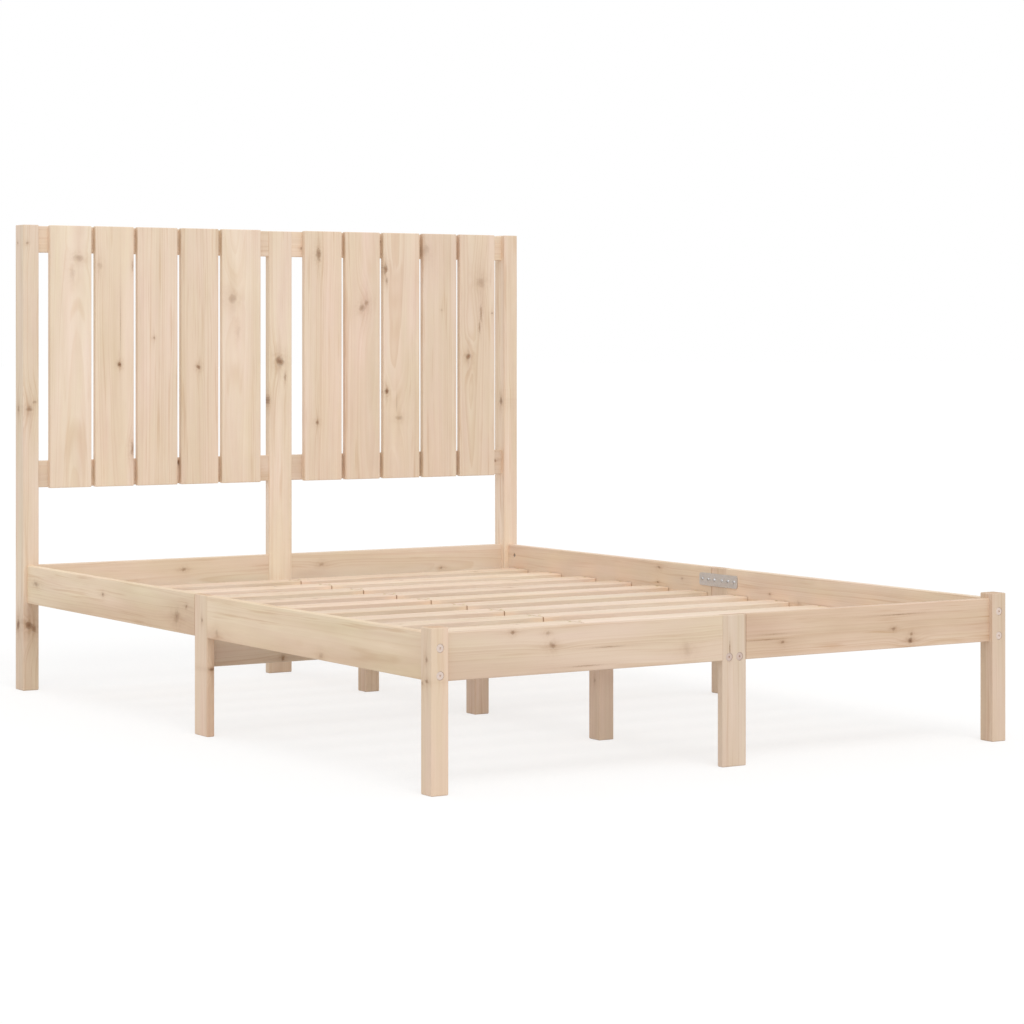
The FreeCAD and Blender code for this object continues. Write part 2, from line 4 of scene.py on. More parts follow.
import bmesh
import bpy
from mathutils import Matrix, Vector


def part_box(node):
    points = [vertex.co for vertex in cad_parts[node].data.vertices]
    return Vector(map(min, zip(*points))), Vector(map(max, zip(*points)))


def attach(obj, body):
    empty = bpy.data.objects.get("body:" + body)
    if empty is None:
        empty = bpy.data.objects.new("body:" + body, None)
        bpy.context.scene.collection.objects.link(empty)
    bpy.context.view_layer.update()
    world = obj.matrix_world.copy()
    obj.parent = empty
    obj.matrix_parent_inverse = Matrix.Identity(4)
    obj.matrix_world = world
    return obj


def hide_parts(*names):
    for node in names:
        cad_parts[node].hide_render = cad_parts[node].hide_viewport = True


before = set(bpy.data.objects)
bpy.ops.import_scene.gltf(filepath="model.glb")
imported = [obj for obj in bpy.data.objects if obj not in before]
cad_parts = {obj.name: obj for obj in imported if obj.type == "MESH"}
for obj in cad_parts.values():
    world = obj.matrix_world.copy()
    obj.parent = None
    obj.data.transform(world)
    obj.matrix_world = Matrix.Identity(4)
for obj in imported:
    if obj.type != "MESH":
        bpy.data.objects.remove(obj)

bl_info = {
    "name": "Pine bed frame",
    "version": (1, 0, 0),
    "blender": (4, 5, 0),
    "location": "3D View > Sidebar > Bed frame",
    "description": "Wood finishes, bolts, nuts, plates and screws for a slatted pine bed frame",
    "category": "Object",
}

AXES = "xyz"
NEAR = 1e-6  # places no further apart than this are the same
TURNED_SIDES = 24  # sides of a bolt or a barrel nut
SCREW_SIDES = 12  # sides of a screw head
SHARP_ANGLE = math.radians(35)  # edges of a fitting sharper than this stay crisp
KNOT_TRACES = ("Bend", "Core", "Rim", "Stain")  # what knots do to the wood round them


class Look:
    """How one timber's wood differs from plain straight-grained pine. On some timbers the tone and the
    darker band are painted shade, and on one painted light.
    """

    tone = 1.0  # lightness against the common wood; on some timbers painted shade, on one painted light
    blush = 0.10  # pinkness
    amber = 0.0  # yellowness
    figure = 1.0  # strength of the streaks and fine lines
    rings_show = 1.0  # strength of the growth rings
    rings = 1.0  # ring width against the common one
    pith = (0.06, 0.06)  # the tree's middle, across and through the timber from its own middle
    tilt = (0.003, 0.004)  # how the pith leans away along the grain
    heart_and_shade = (0.0, 0.0, 0.0, 0.01)  # edge across, slope, depth and blur of the darker band: heartwood, and on some timbers painted shade
    # A knot is the axis square to the face, its place across and along the grain, its radius,
    # its darkness and how much longer than wide it is.
    knots = ()

    def __init__(self, **differences):
        vars(self).update(differences)


# Timbers with a look of their own, most of them in view. unseen_look serves the others. Several darker
# tones and bands here are painted shade of the bedding that the scene leaves out.
LOOKS = {
    "headboard_board_01": Look(
        tone=1.01, blush=-0.3, rings_show=0.6, rings=1.2, pith=(0.012, 0.052), tilt=(0.004, 0.016),
        knots=(("y", -0.5597, 1.042, 0.011, 0.5, 0.7), ("y", -0.574, 1.004, 0.006, 0.32, 2.2))),
    "headboard_board_02": Look(
        tone=1.02, pith=(0.022, 0.07), tilt=(0.002, -0.012),
        knots=(("y", -0.5042, 1.0242, 0.006, 0.35, 1.3), ("y", -0.45, 0.783, 0.0042, 1.0, 1.2),
               ("y", -0.416, 0.576, 0.005, 0.65, 3.2), ("y", -0.416, 1.025, 0.0026, 0.5, 5.0),
               ("y", -0.448, 0.88, 0.001, 0.5, 70.0))),
    "headboard_board_03": Look(
        tone=0.97, blush=-0.1, rings=1.1, pith=(0.11, 0.07),
        knots=(("y", -0.358, 0.848, 0.003, 0.6, 1.1),)),
    "headboard_board_04": Look(
        tone=0.98, pith=(-0.08, 0.06), tilt=(-0.004, 0.006),
        knots=(("y", -0.236, 0.7755, 0.0046, 0.8, 1.1),)),
    "headboard_board_05": Look(
        blush=-0.25, rings_show=0.7, rings=1.15, pith=(-0.018, 0.065), tilt=(-0.003, -0.012),
        knots=(("y", -0.1425, 0.9466, 0.0105, 0.5, 1.0), ("y", -0.127, 0.862, 0.006, 0.25, 2.2))),
    "headboard_board_06": Look(
        tone=0.98, rings=0.95, pith=(0.1, 0.06), tilt=(0.005, 0.004),
        knots=(("y", 0.102, 1.062, 0.006, 0.7, 2.4), ("y", 0.0992, 0.6324, 0.0044, 0.85, 1.1))),
    "headboard_board_07": Look(
        tone=0.95, blush=0.21, rings=1.1, pith=(0.02, 0.06), tilt=(0.003, -0.014),
        knots=(("y", 0.231, 0.926, 0.0088, 0.62, 1.0), ("y", 0.243, 0.938, 0.0062, 0.58, 1.2))),
    "headboard_board_08": Look(
        tone=0.98, rings_show=0.8, pith=(-0.02, 0.06), tilt=(0.004, -0.014),
        knots=(("y", 0.299, 1.026, 0.005, 0.8, 2.2), ("y", 0.303, 0.996, 0.003, 0.6, 2.6),
               ("y", 0.302, 0.7094, 0.0048, 1.0, 1.5), ("y", 0.339, 0.641, 0.011, 0.5, 0.5),
               ("y", 0.333, 0.68, 0.0011, 0.5, 22.0))),
    "headboard_board_09": Look(
        tone=0.95, blush=0.21, pith=(0.1, 0.07), tilt=(-0.003, 0.004),
        knots=(("y", 0.4165, 1.0761, 0.0105, 0.4, 1.5), ("y", 0.469, 0.921, 0.003, 0.45, 0.6))),
    "headboard_board_10": Look(
        tone=0.96, blush=0.21, rings_show=0.8, rings=1.05, pith=(-0.018, 0.06), tilt=(-0.004, -0.013),
        knots=(("y", 0.591, 0.9945, 0.012, 0.45, 1.0), ("y", 0.59, 0.913, 0.0032, 0.6, 6.0),
               ("y", 0.585, 0.876, 0.0026, 0.6, 6.0), ("y", 0.5505, 0.7992, 0.0062, 0.9, 1.0),
               ("y", 0.624, 0.9135, 0.0028, 0.6, 0.7))),
    "head_centre_post": Look(
        blush=-0.4, rings_show=0.55, rings=1.05, pith=(0.09, 0.07), tilt=(0.002, 0.004),
        # The darker band at the post's lower end is painted shade of the bedding that the scene leaves out.
        heart_and_shade=(-0.36, -1.0, 0.46, 0.05),
        knots=(("y", -0.0033, 0.7895, 0.0098, 0.85, 1.1), ("y", 0.013, 0.748, 0.003, 0.6, 3.0),
               ("y", -0.0335, 0.69, 0.0034, 0.8, 3.0))),
    "head_post_left": Look(
        # The darker band at the post's lower end is painted shade of the bedding that the scene leaves out,
        # on wood with some heartwood there too.
        tone=0.96, rings=0.95, tilt=(0.002, 0.003), heart_and_shade=(-0.36, -1.0, 0.36, 0.05),
        knots=(("y", -0.6921, 1.0757, 0.003, 0.6, 1.0), ("x", 0.9675, 1.0765, 0.003, 0.6, 1.0),
               ("y", -0.686, 0.677, 0.0078, 0.75, 0.8), ("x", 0.9638, 0.676, 0.0062, 0.65, 1.2),
               ("y", -0.6728, 0.693, 0.0055, 0.55, 0.6), ("x", 0.9651, 0.157, 0.0068, 1.0, 1.6),
               ("y", -0.6878, 0.157, 0.0076, 1.0, 1.1), ("y", -0.6765, 0.15, 0.0068, 0.8, 1.4))),
    "head_post_right": Look(
        # The lighter tone with a darker band along the front is painted light: it makes the left face
        # lighter than the front.
        tone=1.05, blush=-0.1, figure=1.3, rings=0.95, pith=(-0.06, 0.065), tilt=(0.002, -0.003),
        heart_and_shade=(-0.016, 0.0, 0.27, 0.008),
        knots=(("x", 0.951, 0.6818, 0.007, 0.75, 1.4), ("x", 0.9685, 0.5218, 0.005, 0.75, 1.2))),
    "headboard_low_rail_left": Look(
        tone=0.92, rings=0.9, pith=(0.02, 0.08), tilt=(0.002, 0.01),
        knots=(("y", 0.5392, -0.285, 0.006, 0.9, 1.2),)),
    "headboard_low_rail_right": Look(
        tone=0.87, rings=0.9, pith=(0.11, 0.06), tilt=(0.003, 0.006),
        knots=(("y", 0.524, 0.6415, 0.0044, 0.85, 0.8), ("y", 0.539, 0.27, 0.004, 0.6, 1.3))),
    "side_rail_left_head": Look(
        tone=0.985, amber=0.75, figure=1.3, rings=0.9, pith=(0.07, 0.05), tilt=(0.004, 0.004),
        # The darker band along the lower part is heartwood and painted shade from under the bed.
        heart_and_shade=(-0.009, -0.085, 0.55, 0.028),
        knots=(("x", 0.26, 0.88, 0.006, 0.6, 2.2), ("x", 0.2635, 0.4966, 0.004, 0.8, 1.0),
               ("x", 0.2696, 0.0657, 0.0036, 0.75, 1.0), ("x", 0.243, 0.1109, 0.0092, 0.68, 1.2))),
    "side_rail_left_foot": Look(
        tone=0.99, amber=0.85, figure=1.3, rings=1.1, pith=(-0.02, -0.055), tilt=(-0.01, 0.006),
        # The darker band along the lower part is heartwood and painted shade from under the bed.
        heart_and_shade=(-0.013, -0.028, 0.46, 0.024),
        knots=(("x", 0.224, -0.08, 0.0085, 0.42, 0.8), ("x", 0.219, -0.538, 0.0056, 0.45, 1.4))),
    "side_mid_leg_left": Look(
        tone=0.96, blush=0.52, amber=0.2, figure=0.6, rings_show=0.7, rings=0.9, pith=(0.07, 0.06),
        # The darker band on the foot-side face is painted shade of the bedding that the scene leaves out.
        heart_and_shade=(-0.026, 0.0, 0.42, 0.004),
        knots=(("x", -0.0102, 0.2463, 0.0036, 0.75, 1.1), ("y", -0.6803, 0.1433, 0.0058, 1.0, 0.5))),
    "foot_corner_leg_left": Look(
        tone=0.95, blush=0.62, amber=0.2, figure=0.5, rings_show=0.7, rings=0.85, pith=(0.06, 0.07),
        tilt=(0.003, 0.003),
        knots=(("x", -0.9633, 0.251, 0.0042, 0.7, 1.2), ("x", -0.9655, 0.211, 0.0062, 0.72, 0.6),
               ("x", -0.95, 0.206, 0.005, 0.5, 0.7))),
    # The centre legs' darker tones are painted shade of the bedding that the scene leaves out.
    "centre_leg_foot": Look(
        tone=0.86, blush=0.28, rings=0.9, pith=(-0.05, 0.06), tilt=(0.002, 0.004),
        knots=(("x", -0.505, 0.125, 0.004, 0.5, 1.2),)),
    "centre_leg_middle": Look(
        tone=0.86, blush=0.28, rings=0.85, tilt=(0.003, 0.003)),
    "centre_leg_head": Look(
        tone=0.88, blush=0.28, rings=0.9, pith=(0.05, -0.06), tilt=(0.003, 0.003)),
    # The cross beams' darker tones are painted shade of the bedding that the scene leaves out, with the
    # right beam matched to the left.
    "cross_beam_left": Look(
        tone=0.77, blush=0.35, rings=0.9, pith=(0.06, 0.05),
        knots=(("y", 0.155, -0.5, 0.0058, 0.85, 0.7), ("y", 0.19, -0.26, 0.005, 0.55, 1.2))),
    "cross_beam_right": Look(
        tone=0.8, blush=0.3, rings=0.9, pith=(-0.06, 0.05), tilt=(0.003, -0.004),
        knots=(("y", 0.17, 0.34, 0.0046, 0.6, 1.3), ("y", 0.188, 0.53, 0.0032, 0.7, 1.2))),
    # Its darker tone is painted shade from under the bed.
    "side_mid_leg_right": Look(
        tone=0.91, blush=0.25, rings=0.9, pith=(0.07, 0.06),
        knots=(("x", 0.006, 0.208, 0.0046, 0.75, 1.3), ("x", -0.016, 0.104, 0.0032, 0.6, 1.2))),
    "foot_corner_leg_right": Look(
        tone=0.82, blush=0.35, amber=0.4, rings=0.85, pith=(-0.06, 0.06), tilt=(0.002, 0.004)),
    "foot_mid_leg": Look(
        tone=0.86, blush=0.25, rings_show=0.8, rings=0.85, pith=(0.08, 0.06), tilt=(0.003, 0.003),
        knots=(("y", -0.0114, 0.234, 0.0012, 0.8, 11.0),)),
    "foot_rail_left": Look(
        tone=0.88, blush=0.2, amber=0.3, figure=0.8, rings_show=0.8, pith=(-0.1, 0.06), tilt=(0.006, 0.004),
        heart_and_shade=(-0.0368, -0.1316, 0.4, 0.026),
        knots=(("y", 0.2926, -0.5188, 0.0036, 0.8, 1.1), ("y", 0.2615, -0.429, 0.0062, 0.7, 1.0),
               ("y", 0.286, -0.44, 0.0036, 0.5, 1.4), ("y", 0.2534, -0.301, 0.0011, 0.6, 30.0),
               ("y", 0.22, -0.352, 0.0011, 0.6, 30.0), ("y", 0.2363, -0.114, 0.012, 0.32, 1.0))),
    "foot_rail_right": Look(
        tone=0.86, blush=0.95, amber=0.5, figure=1.5, rings=0.85, pith=(-0.07, 0.06), tilt=(0.004, 0.004),
        heart_and_shade=(-0.2, -0.9, 0.3, 0.06),
        knots=(("y", 0.2386, 0.1198, 0.0036, 0.75, 1.0), ("y", 0.25, 0.406, 0.0034, 0.75, 1.4),
               ("y", 0.2235, 0.4505, 0.005, 1.0, 1.1), ("y", 0.237, 0.4535, 0.0034, 0.7, 1.0),
               ("y", 0.279, 0.42, 0.0011, 0.65, 45.0), ("y", 0.246, 0.08, 0.0011, 0.6, 45.0),
               ("y", 0.256, 0.1, 0.001, 0.5, 30.0))),
}


def pale(red, green, blue):
    """A colour as it is read on a screen, turned into light."""
    return tuple(
        step / 12.92 if step <= 0.04045 else ((step + 0.055) / 1.055) ** 2.4
        for step in (red / 255, green / 255, blue / 255)
    )


def tint(name, description, default):
    """A colour that the user can set."""
    return bpy.props.FloatVectorProperty(
        name=name, description=description, default=default,
        subtype="COLOR", size=3, min=0, max=1)


def share(name, description, default):
    """A strength from none to full that the user can set."""
    return bpy.props.FloatProperty(
        name=name, description=description, default=default, subtype="FACTOR", min=0, max=1)


def length(name, description, default, least, most):
    """A length that the user can set."""
    return bpy.props.FloatProperty(
        name=name, description=description, default=default,
        subtype="DISTANCE", unit="LENGTH", min=least, max=most)


class PineFinish(bpy.types.PropertyGroup):
    """Colours and grain of the wood."""

    wood_colour: tint(
        "Wood", "Pale wood between the dark lines of the growth rings", pale(241, 222, 200))
    ring_tint: tint(
        "Ring line", "What a growth ring's dark line leaves of the wood's colour",
        (0.80, 0.68, 0.55))
    # This tint also colours the darker band that is painted shade on some timbers.
    heart_and_shade_tint: tint(
        "Heartwood", "What heartwood leaves of the pale wood's colour", (0.72, 0.62, 0.54))
    blush_tint: tint(
        "Blush", "What the pinkish patches leave of the pale wood's colour", (0.99, 0.90, 0.87))
    amber_tint: tint(
        "Amber", "What a yellower timber leaves of the pale wood's colour", (1.00, 0.985, 0.90))
    stain_tint: tint(
        "Stain", "What the resin stain round a knot leaves of the wood's colour",
        (0.72, 0.62, 0.54))
    end_tint: tint(
        "End grain", "What end grain leaves of the pale wood's colour", (0.84, 0.76, 0.69))
    knot_colour: tint("Knot", "Middle of a knot", pale(166, 128, 99))
    knot_rim_colour: tint("Knot rim", "Bark line round a knot", pale(92, 69, 49))
    ring_width: length(
        "Ring width", "Common distance between growth rings", 0.0040, 0.0005, 0.02)
    ring_contrast: share("Ring contrast", "How strongly the growth rings show", 0.48)
    streak_contrast: share(
        "Streak contrast", "How strongly the broad streaks along the grain show", 0.15)
    vein_contrast: share(
        "Vein contrast", "How strongly the fine dark lines that come and go show", 0.42)
    colour_drift: share(
        "Colour drift", "How far the wood drifts between pinkish and yellowish", 0.05)
    roughness: share("Roughness", "Roughness of the planed and sealed surface", 0.52)


class SteelFinish(bpy.types.PropertyGroup):
    """Colours of the fittings."""

    bolt_colour: tint(
        "Bolts", "Nickel-plated bolts of the legs and posts", (0.78, 0.645, 0.565))
    beam_bolt_colour: tint(
        "Beam bolts", "Duller bolts in the ends of the centre beam", (0.67, 0.53, 0.46))
    nut_colour: tint("Barrel nuts", "Zinc-plated barrel nut", (0.60, 0.61, 0.62))
    plate_colour: tint("Joining plates", "Zinc-plated joining plate", (0.66, 0.67, 0.69))
    screw_colour: tint("Screws", "Yellow-passivated wood screw", (0.72, 0.60, 0.38))
    roughness: share("Roughness", "Roughness of the plating", 0.42)


class FittingSizes(bpy.types.PropertyGroup):
    """Sizes of the small fittings."""

    bolt_edge: length("Bolt head edge", "Rounding of a bolt head's rim", 0.0003, 0.0001, 0.002)
    socket_width: length("Bolt socket", "Hexagon socket across its flats", 0.0040, 0.001, 0.01)
    socket_depth: length(
        "Bolt socket depth", "Depth of the hexagon socket", 0.0020, 0.0005, 0.005)
    shank_diameter: length("Bolt shank", "Diameter of a bolt's shank", 0.0060, 0.003, 0.02)
    head_height: length("Bolt head height", "Height of a bolt's flat head", 0.0030, 0.001, 0.01)
    head_diameter: length("Bolt head", "Diameter of a bolt's flat head", 0.0160, 0.004, 0.04)
    nut_diameter: length("Barrel nut", "Diameter of a barrel nut", 0.0100, 0.004, 0.03)
    nut_slot: length(
        "Barrel nut slot", "Width and depth of the slot in a barrel nut's end",
        0.0012, 0.0002, 0.003)
    screw_diameter: length(
        "Wood screw head", "Diameter of a wood screw's head", 0.0076, 0.002, 0.02)
    screw_rise: length(
        "Wood screw rise", "How far a wood screw's head stands up", 0.0010, 0.0002, 0.005)
    plate_screw_diameter: length(
        "Plate screw head", "Diameter of a joining plate's screw head", 0.0082, 0.002, 0.02)
    plate_screw_rise: length(
        "Plate screw rise", "How far a joining plate's screw head stands up",
        0.0020, 0.0002, 0.005)


class StageSetting(bpy.types.PropertyGroup):
    """Floor, light and camera."""

    floor_size: length("Floor", "Length of the floor's sides", 160, 5, 500)
    floor_shadow: share(
        "Floor shadow", "How much of the white floor's look is lit by the lamps", 0.36)
    sky_light: bpy.props.FloatProperty(
        name="Sky light", description="Even light from all round", min=0, max=5, default=0.785)
    sun_light: bpy.props.FloatProperty(
        name="Sun", description="Light from the front and above", min=0, max=20, default=0.88)
    sun_softness: bpy.props.FloatProperty(
        name="Sun softness", description="Angle that the lamp spreads over",
        subtype="ANGLE", unit="ROTATION", min=0, max=math.pi, default=math.radians(35))
    sun_direction: bpy.props.FloatVectorProperty(
        name="Towards the sun", description="Direction from the bed to the lamp",
        subtype="DIRECTION", size=3, default=(-0.16, -0.56, 0.81))
    camera_place: bpy.props.FloatVectorProperty(
        name="Camera", description="Place of the camera",
        subtype="TRANSLATION", unit="LENGTH", size=3, default=(-3.44105, -5.58133, 0.84265))
    camera_heading: bpy.props.FloatProperty(
        name="Heading", description="How far the camera turns to the right of the bed's length",
        subtype="ANGLE", unit="ROTATION", min=-math.pi, max=math.pi, default=0.5649)
    camera_lens: bpy.props.FloatProperty(
        name="Focal length", description="Focal length on a frame 36 mm wide",
        subtype="DISTANCE_CAMERA", unit="CAMERA", min=10, max=500, default=102.04)
    camera_shift: bpy.props.FloatVectorProperty(
        name="Lens shift", description="Lens shift to the side and up",
        size=2, default=(-0.00049, -0.16798))


class Flow:
    """What comes out of a node. Each sign or line adds a math node."""

    def __init__(self, bench, socket):
        self.bench = bench
        self.socket = socket

    def __add__(self, other):
        return self.bench.math("ADD", self, other)

    def __sub__(self, other):
        return self.bench.math("SUBTRACT", self, other)

    def __mul__(self, other):
        return self.bench.math("MULTIPLY", self, other)

    def __truediv__(self, other):
        return self.bench.math("DIVIDE", self, other)

    def line(self, slope, start):
        """The start plus this times the slope."""
        return self.bench.math("MULTIPLY_ADD", self, slope, start)


class Bench:
    """Adds nodes to an emptied node tree. An input is a plain value, a colour or a flow."""

    def __init__(self, tree):
        self.tree = tree
        tree.nodes.clear()

    def add(self, kind, inputs=None, **settings):
        """All flows out of a new node, by number and by name."""
        node = self.tree.nodes.new(kind)
        for name, setting in settings.items():
            setattr(node, name, setting)
        for slot, value in (inputs or {}).items():
            socket = node.inputs[slot]
            if isinstance(value, Flow):
                self.tree.links.new(value.socket, socket)
            else:
                socket.default_value = (*value, 1.0) if socket.type == "RGBA" else value
        flows = {}
        for number, socket in enumerate(node.outputs):
            flows[number] = flows[socket.name] = Flow(self, socket)
        return flows

    def node(self, kind, inputs=None, output=0, **settings):
        """One flow out of a new node."""
        return self.add(kind, inputs, **settings)[output]

    def math(self, operation, *terms, clamp=False):
        inputs = dict(enumerate(terms))
        return self.node("ShaderNodeMath", inputs, operation=operation, use_clamp=clamp)

    def vector(self, operation, *terms):
        return self.node("ShaderNodeVectorMath", dict(enumerate(terms)), operation=operation)

    def scaled(self, vector, factor):
        inputs = {0: vector, "Scale": factor}
        return self.node("ShaderNodeVectorMath", inputs, operation="SCALE")

    def parts(self, vector):
        """A vector's three parts."""
        flows = self.add("ShaderNodeSeparateXYZ", {0: vector})
        return [flows[axis] for axis in range(3)]

    def combined(self, *parts):
        return self.node("ShaderNodeCombineXYZ", dict(enumerate(parts)))

    def noise(self, place, scale, detail=2.0, roughness=0.5):
        inputs = {"Vector": place, "Scale": scale, "Detail": detail, "Roughness": roughness}
        return self.node("ShaderNodeTexNoise", inputs)

    def ease(self, value, start, end, low=0.0, high=1.0):
        """A smooth step from low to high while the value goes from start to end."""
        inputs = {0: value, 1: start, 2: end, 3: low, 4: high}
        return self.node("ShaderNodeMapRange", inputs, interpolation_type="SMOOTHSTEP")

    def blend(self, portion, first, second, kind="MIX"):
        inputs = {0: portion, 6: first, 7: second}
        return self.node("ShaderNodeMix", inputs, output=2, data_type="RGBA", blend_type=kind)

    def use(self, group, inputs):
        return self.add("ShaderNodeGroup", inputs, node_tree=group)


def new_group(name, inputs, outputs, kinds):
    """An empty node group, its bench and its inputs. A socket is a number unless kinds says more."""
    group = bpy.data.node_groups.new(name, "ShaderNodeTree")
    for direction, sockets in (("INPUT", inputs), ("OUTPUT", outputs)):
        for socket in sockets:
            kind = "NodeSocket" + kinds.get(socket, "Float")
            group.interface.new_socket(socket, in_out=direction, socket_type=kind)
    bench = Bench(group)
    return group, bench, bench.add("NodeGroupInput")


def new_material(name):
    """An empty material and its bench."""
    material = bpy.data.materials.new(name)
    material.use_nodes = True
    return material, Bench(material.node_tree)


def knot_group():
    """One knot: how it bends the rings, its core, bark line and stain, added to earlier knots."""
    places = ("Across", "Along", "Middle across", "Middle along", "Radius", "Darkness", "Stretch")
    group, bench, given = new_group("pine_knot", places + KNOT_TRACES, KNOT_TRACES, {})
    dark = given["Darkness"]
    across = (given["Across"] - given["Middle across"]) / given["Radius"]
    along = (given["Along"] - given["Middle along"]) / given["Radius"]
    place = bench.combined(across, along, given["Middle along"] * 97.0)
    ragged = bench.noise(place, 0.95, 3.0, 0.6) - 0.5
    mottle = bench.ease(bench.noise(place, 0.80, 2.0, 0.6), 0.30, 0.70, 0.45, 1.25)
    drift = bench.noise(bench.scaled(place, 0.30), 1.0, 1.0) - 0.5
    across = drift.line(1.6, across)

    def reach(stretch):
        """Distance from the knot's middle in radii, less along the grain by the stretch."""
        shorter = along / stretch
        return bench.math("SQRT", across * across + shorter * shorter)

    def fading(distance):
        return bench.math("EXPONENT", distance * distance * -1.0)

    near = ragged.line(1.5, reach(given["Stretch"]))
    core = bench.ease(near, 1.10, 0.45) * dark
    rim = fading((near - 0.85) / 0.30) * 0.6
    eye = bench.ease(near, 0.75, 0.15)
    rim = bench.math("MAXIMUM", rim, eye) * dark
    halo = fading(near / 2.4) * mottle
    tail = along / 9.0
    tail = bench.math("EXPONENT", (across * across + tail * tail) * -1.6)
    stain = tail.line(0.45, halo * 0.65)
    bend = fading(reach(3.0) / 2.6) * given["Radius"] * 1.2 * dark
    traces = {"Bend": given["Bend"] + bend}
    for name, part in (("Core", core), ("Rim", rim), ("Stain", stain)):
        traces[name] = bench.math("MAXIMUM", given[name], part * dark)
    bench.add("NodeGroupOutput", traces)
    return group


def grain_group(finish):
    """Growth rings round a pith, streaks, fibres, heartwood with painted shade on some timbers, knots and
    end grain.
    """
    group, bench, given = new_group(
        "pine_grain",
        ("Place", "End", "Seed", "Wood", "Pith across", "Pith through", "Tilt across",
         "Tilt through", "Ring width", "Contrast", "Streaks", "Veins", "Blush",
         "Heart and shade edge", "Heart and shade slope", "Heart and shade depth", "Heart and shade blur", *KNOT_TRACES),
        ("Colour", "Roughness", "Height"),
        {"Place": "Vector", "Wood": "Color", "Colour": "Color"})
    across, through, along = bench.parts(given["Place"])
    shift = bench.scaled((7.31, 3.17, 5.71), given["Seed"])

    def stretched(broad, long):
        """The place, with so many waves in a metre across the grain and along it."""
        wide = bench.vector("MULTIPLY", given["Place"], (broad, broad, long))
        return bench.vector("ADD", wide, shift)

    def swing(broad, long, detail, amount, roughness=0.5):
        """A slow wave about nought."""
        return (bench.noise(stretched(broad, long), 1.0, detail, roughness) - 0.5) * amount

    def from_pith(coordinate, pith, tilt):
        return coordinate - along.line(given[tilt], given[pith])

    def tinted(colour, portion, stain):
        """The colour, with that portion of it cut down to what the stain leaves."""
        return bench.blend(portion, colour, bench.blend(1.0, colour, stain, "MULTIPLY"))

    def leaning(colour, amount, shares):
        """The colour with red, green and blue each moved by a share of the amount."""
        moved = bench.combined(*[amount.line(part, 1.0) for part in shares])
        return bench.blend(1.0, colour, moved, "MULTIPLY")

    # Rings: years counted outwards from the pith, each with its own strength
    side = from_pith(across, "Pith across", "Tilt across")
    depth = from_pith(through, "Pith through", "Tilt through")
    span = bench.math("SQRT", side * side + depth * depth) + swing(9.0, 1.3, 2.0, 0.020)
    span = span + (swing(60.0, 5.0, 2.0, 0.0022) + given["Bend"])
    years = span / given["Ring width"]
    climate = bench.node("ShaderNodeTexNoise", {"W": years, "Scale": 0.37, "Detail": 2.0},
                         noise_dimensions="1D")
    years = climate.line(3.2, years)
    season = bench.math("FRACT", years)
    lottery = {"W": bench.math("FLOOR", years) + given["Seed"]}
    lottery = bench.node("ShaderNodeTexWhiteNoise", lottery, noise_dimensions="1D")
    late = bench.ease(season, 0.10, 0.86) * bench.ease(season, 1.0, 0.90)
    ring = late * (lottery * lottery).line(0.85, 0.15)
    colour = tinted(given["Wood"], ring * given["Contrast"], finish.ring_tint)

    # Fine dark lines that follow the rings
    traced = bench.combined(span * 150.0, along * 4.0, given["Seed"])
    vein = bench.ease(bench.noise(traced, 1.0, 2.0, 0.6), 0.56, 0.72)
    colour = tinted(colour, vein * given["Veins"], finish.ring_tint)

    # Streaks, fibres and flecks, then a slow drift of the hue
    broad = swing(26.0, 1.1, 3.0, 2.0, 0.6)
    patch = swing(7.0, 1.6, 2.0, 1.2)
    figure = swing(34.0, 6.5, 2.0, 1.1)
    fibre = swing(520.0, 16.0, 2.0, 2.0, 0.6)
    fleck = bench.ease(bench.noise(stretched(300.0, 11.0), 1.0, 1.0), 0.66, 0.78)
    streak = fibre.line(0.035, (broad + patch + figure) * given["Streaks"]) - fleck * 0.05
    colour = leaning(colour, streak, (0.70, 1.00, 1.25))
    hue = swing(24.0, 4.0, 2.0, 2.0 * finish.colour_drift)
    colour = leaning(colour, hue, (0.25, -0.75, 0.80))
    blush = bench.ease(bench.noise(stretched(11.0, 1.2), 1.0, 2.0), 0.40, 0.66, 0.0, 0.42)
    blush = bench.math("ADD", blush, given["Blush"], clamp=True)
    colour = tinted(colour, blush, finish.blush_tint)

    # Heartwood, and on some timbers painted shade, beyond a wavering line
    beyond = along.line(given["Heart and shade slope"], given["Heart and shade edge"]) - across
    beyond = beyond + swing(30.0, 2.2, 2.0, 0.030)
    blur = given["Heart and shade blur"]
    heart_and_shade = bench.ease(beyond, blur * -1.0, blur) * given["Heart and shade depth"]
    colour = tinted(colour, heart_and_shade, finish.heart_and_shade_tint)

    # Knots and end grain
    colour = tinted(colour, given["Stain"], finish.stain_tint)
    colour = bench.blend(given["Core"], colour, finish.knot_colour)
    colour = bench.blend(given["Rim"] * 0.55, colour, finish.knot_rim_colour)
    end = bench.ease(given["End"], 0.75, 0.95)
    colour = tinted(colour, end, finish.end_tint)

    rough = end.line(0.18, fibre.line(0.08, ring.line(-0.06, finish.roughness)))
    height = given["Core"].line(0.6, ring.line(-0.5, fibre * 0.5))
    bench.add("NodeGroupOutput", {"Colour": colour, "Roughness": rough, "Height": height})
    return group


def shared_group(name, make):
    return bpy.data.node_groups.get(name) or make()


def named(*starts):
    """Names of the frame's nodes that begin with one of the starts, in order."""
    names = [name for name in sorted(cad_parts) if name.startswith(starts)]
    if not names:
        raise RuntimeError("no node is called " + " or ".join(starts))
    return names


def middle_of(name):
    low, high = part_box(name)
    return (low + high) / 2


def timber_axes(name):
    """Numbers of the axes across, through and along a timber, told from its box."""
    low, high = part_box(name)
    through, across, along = sorted(range(3), key=lambda axis: high[axis] - low[axis])
    return across, through, along


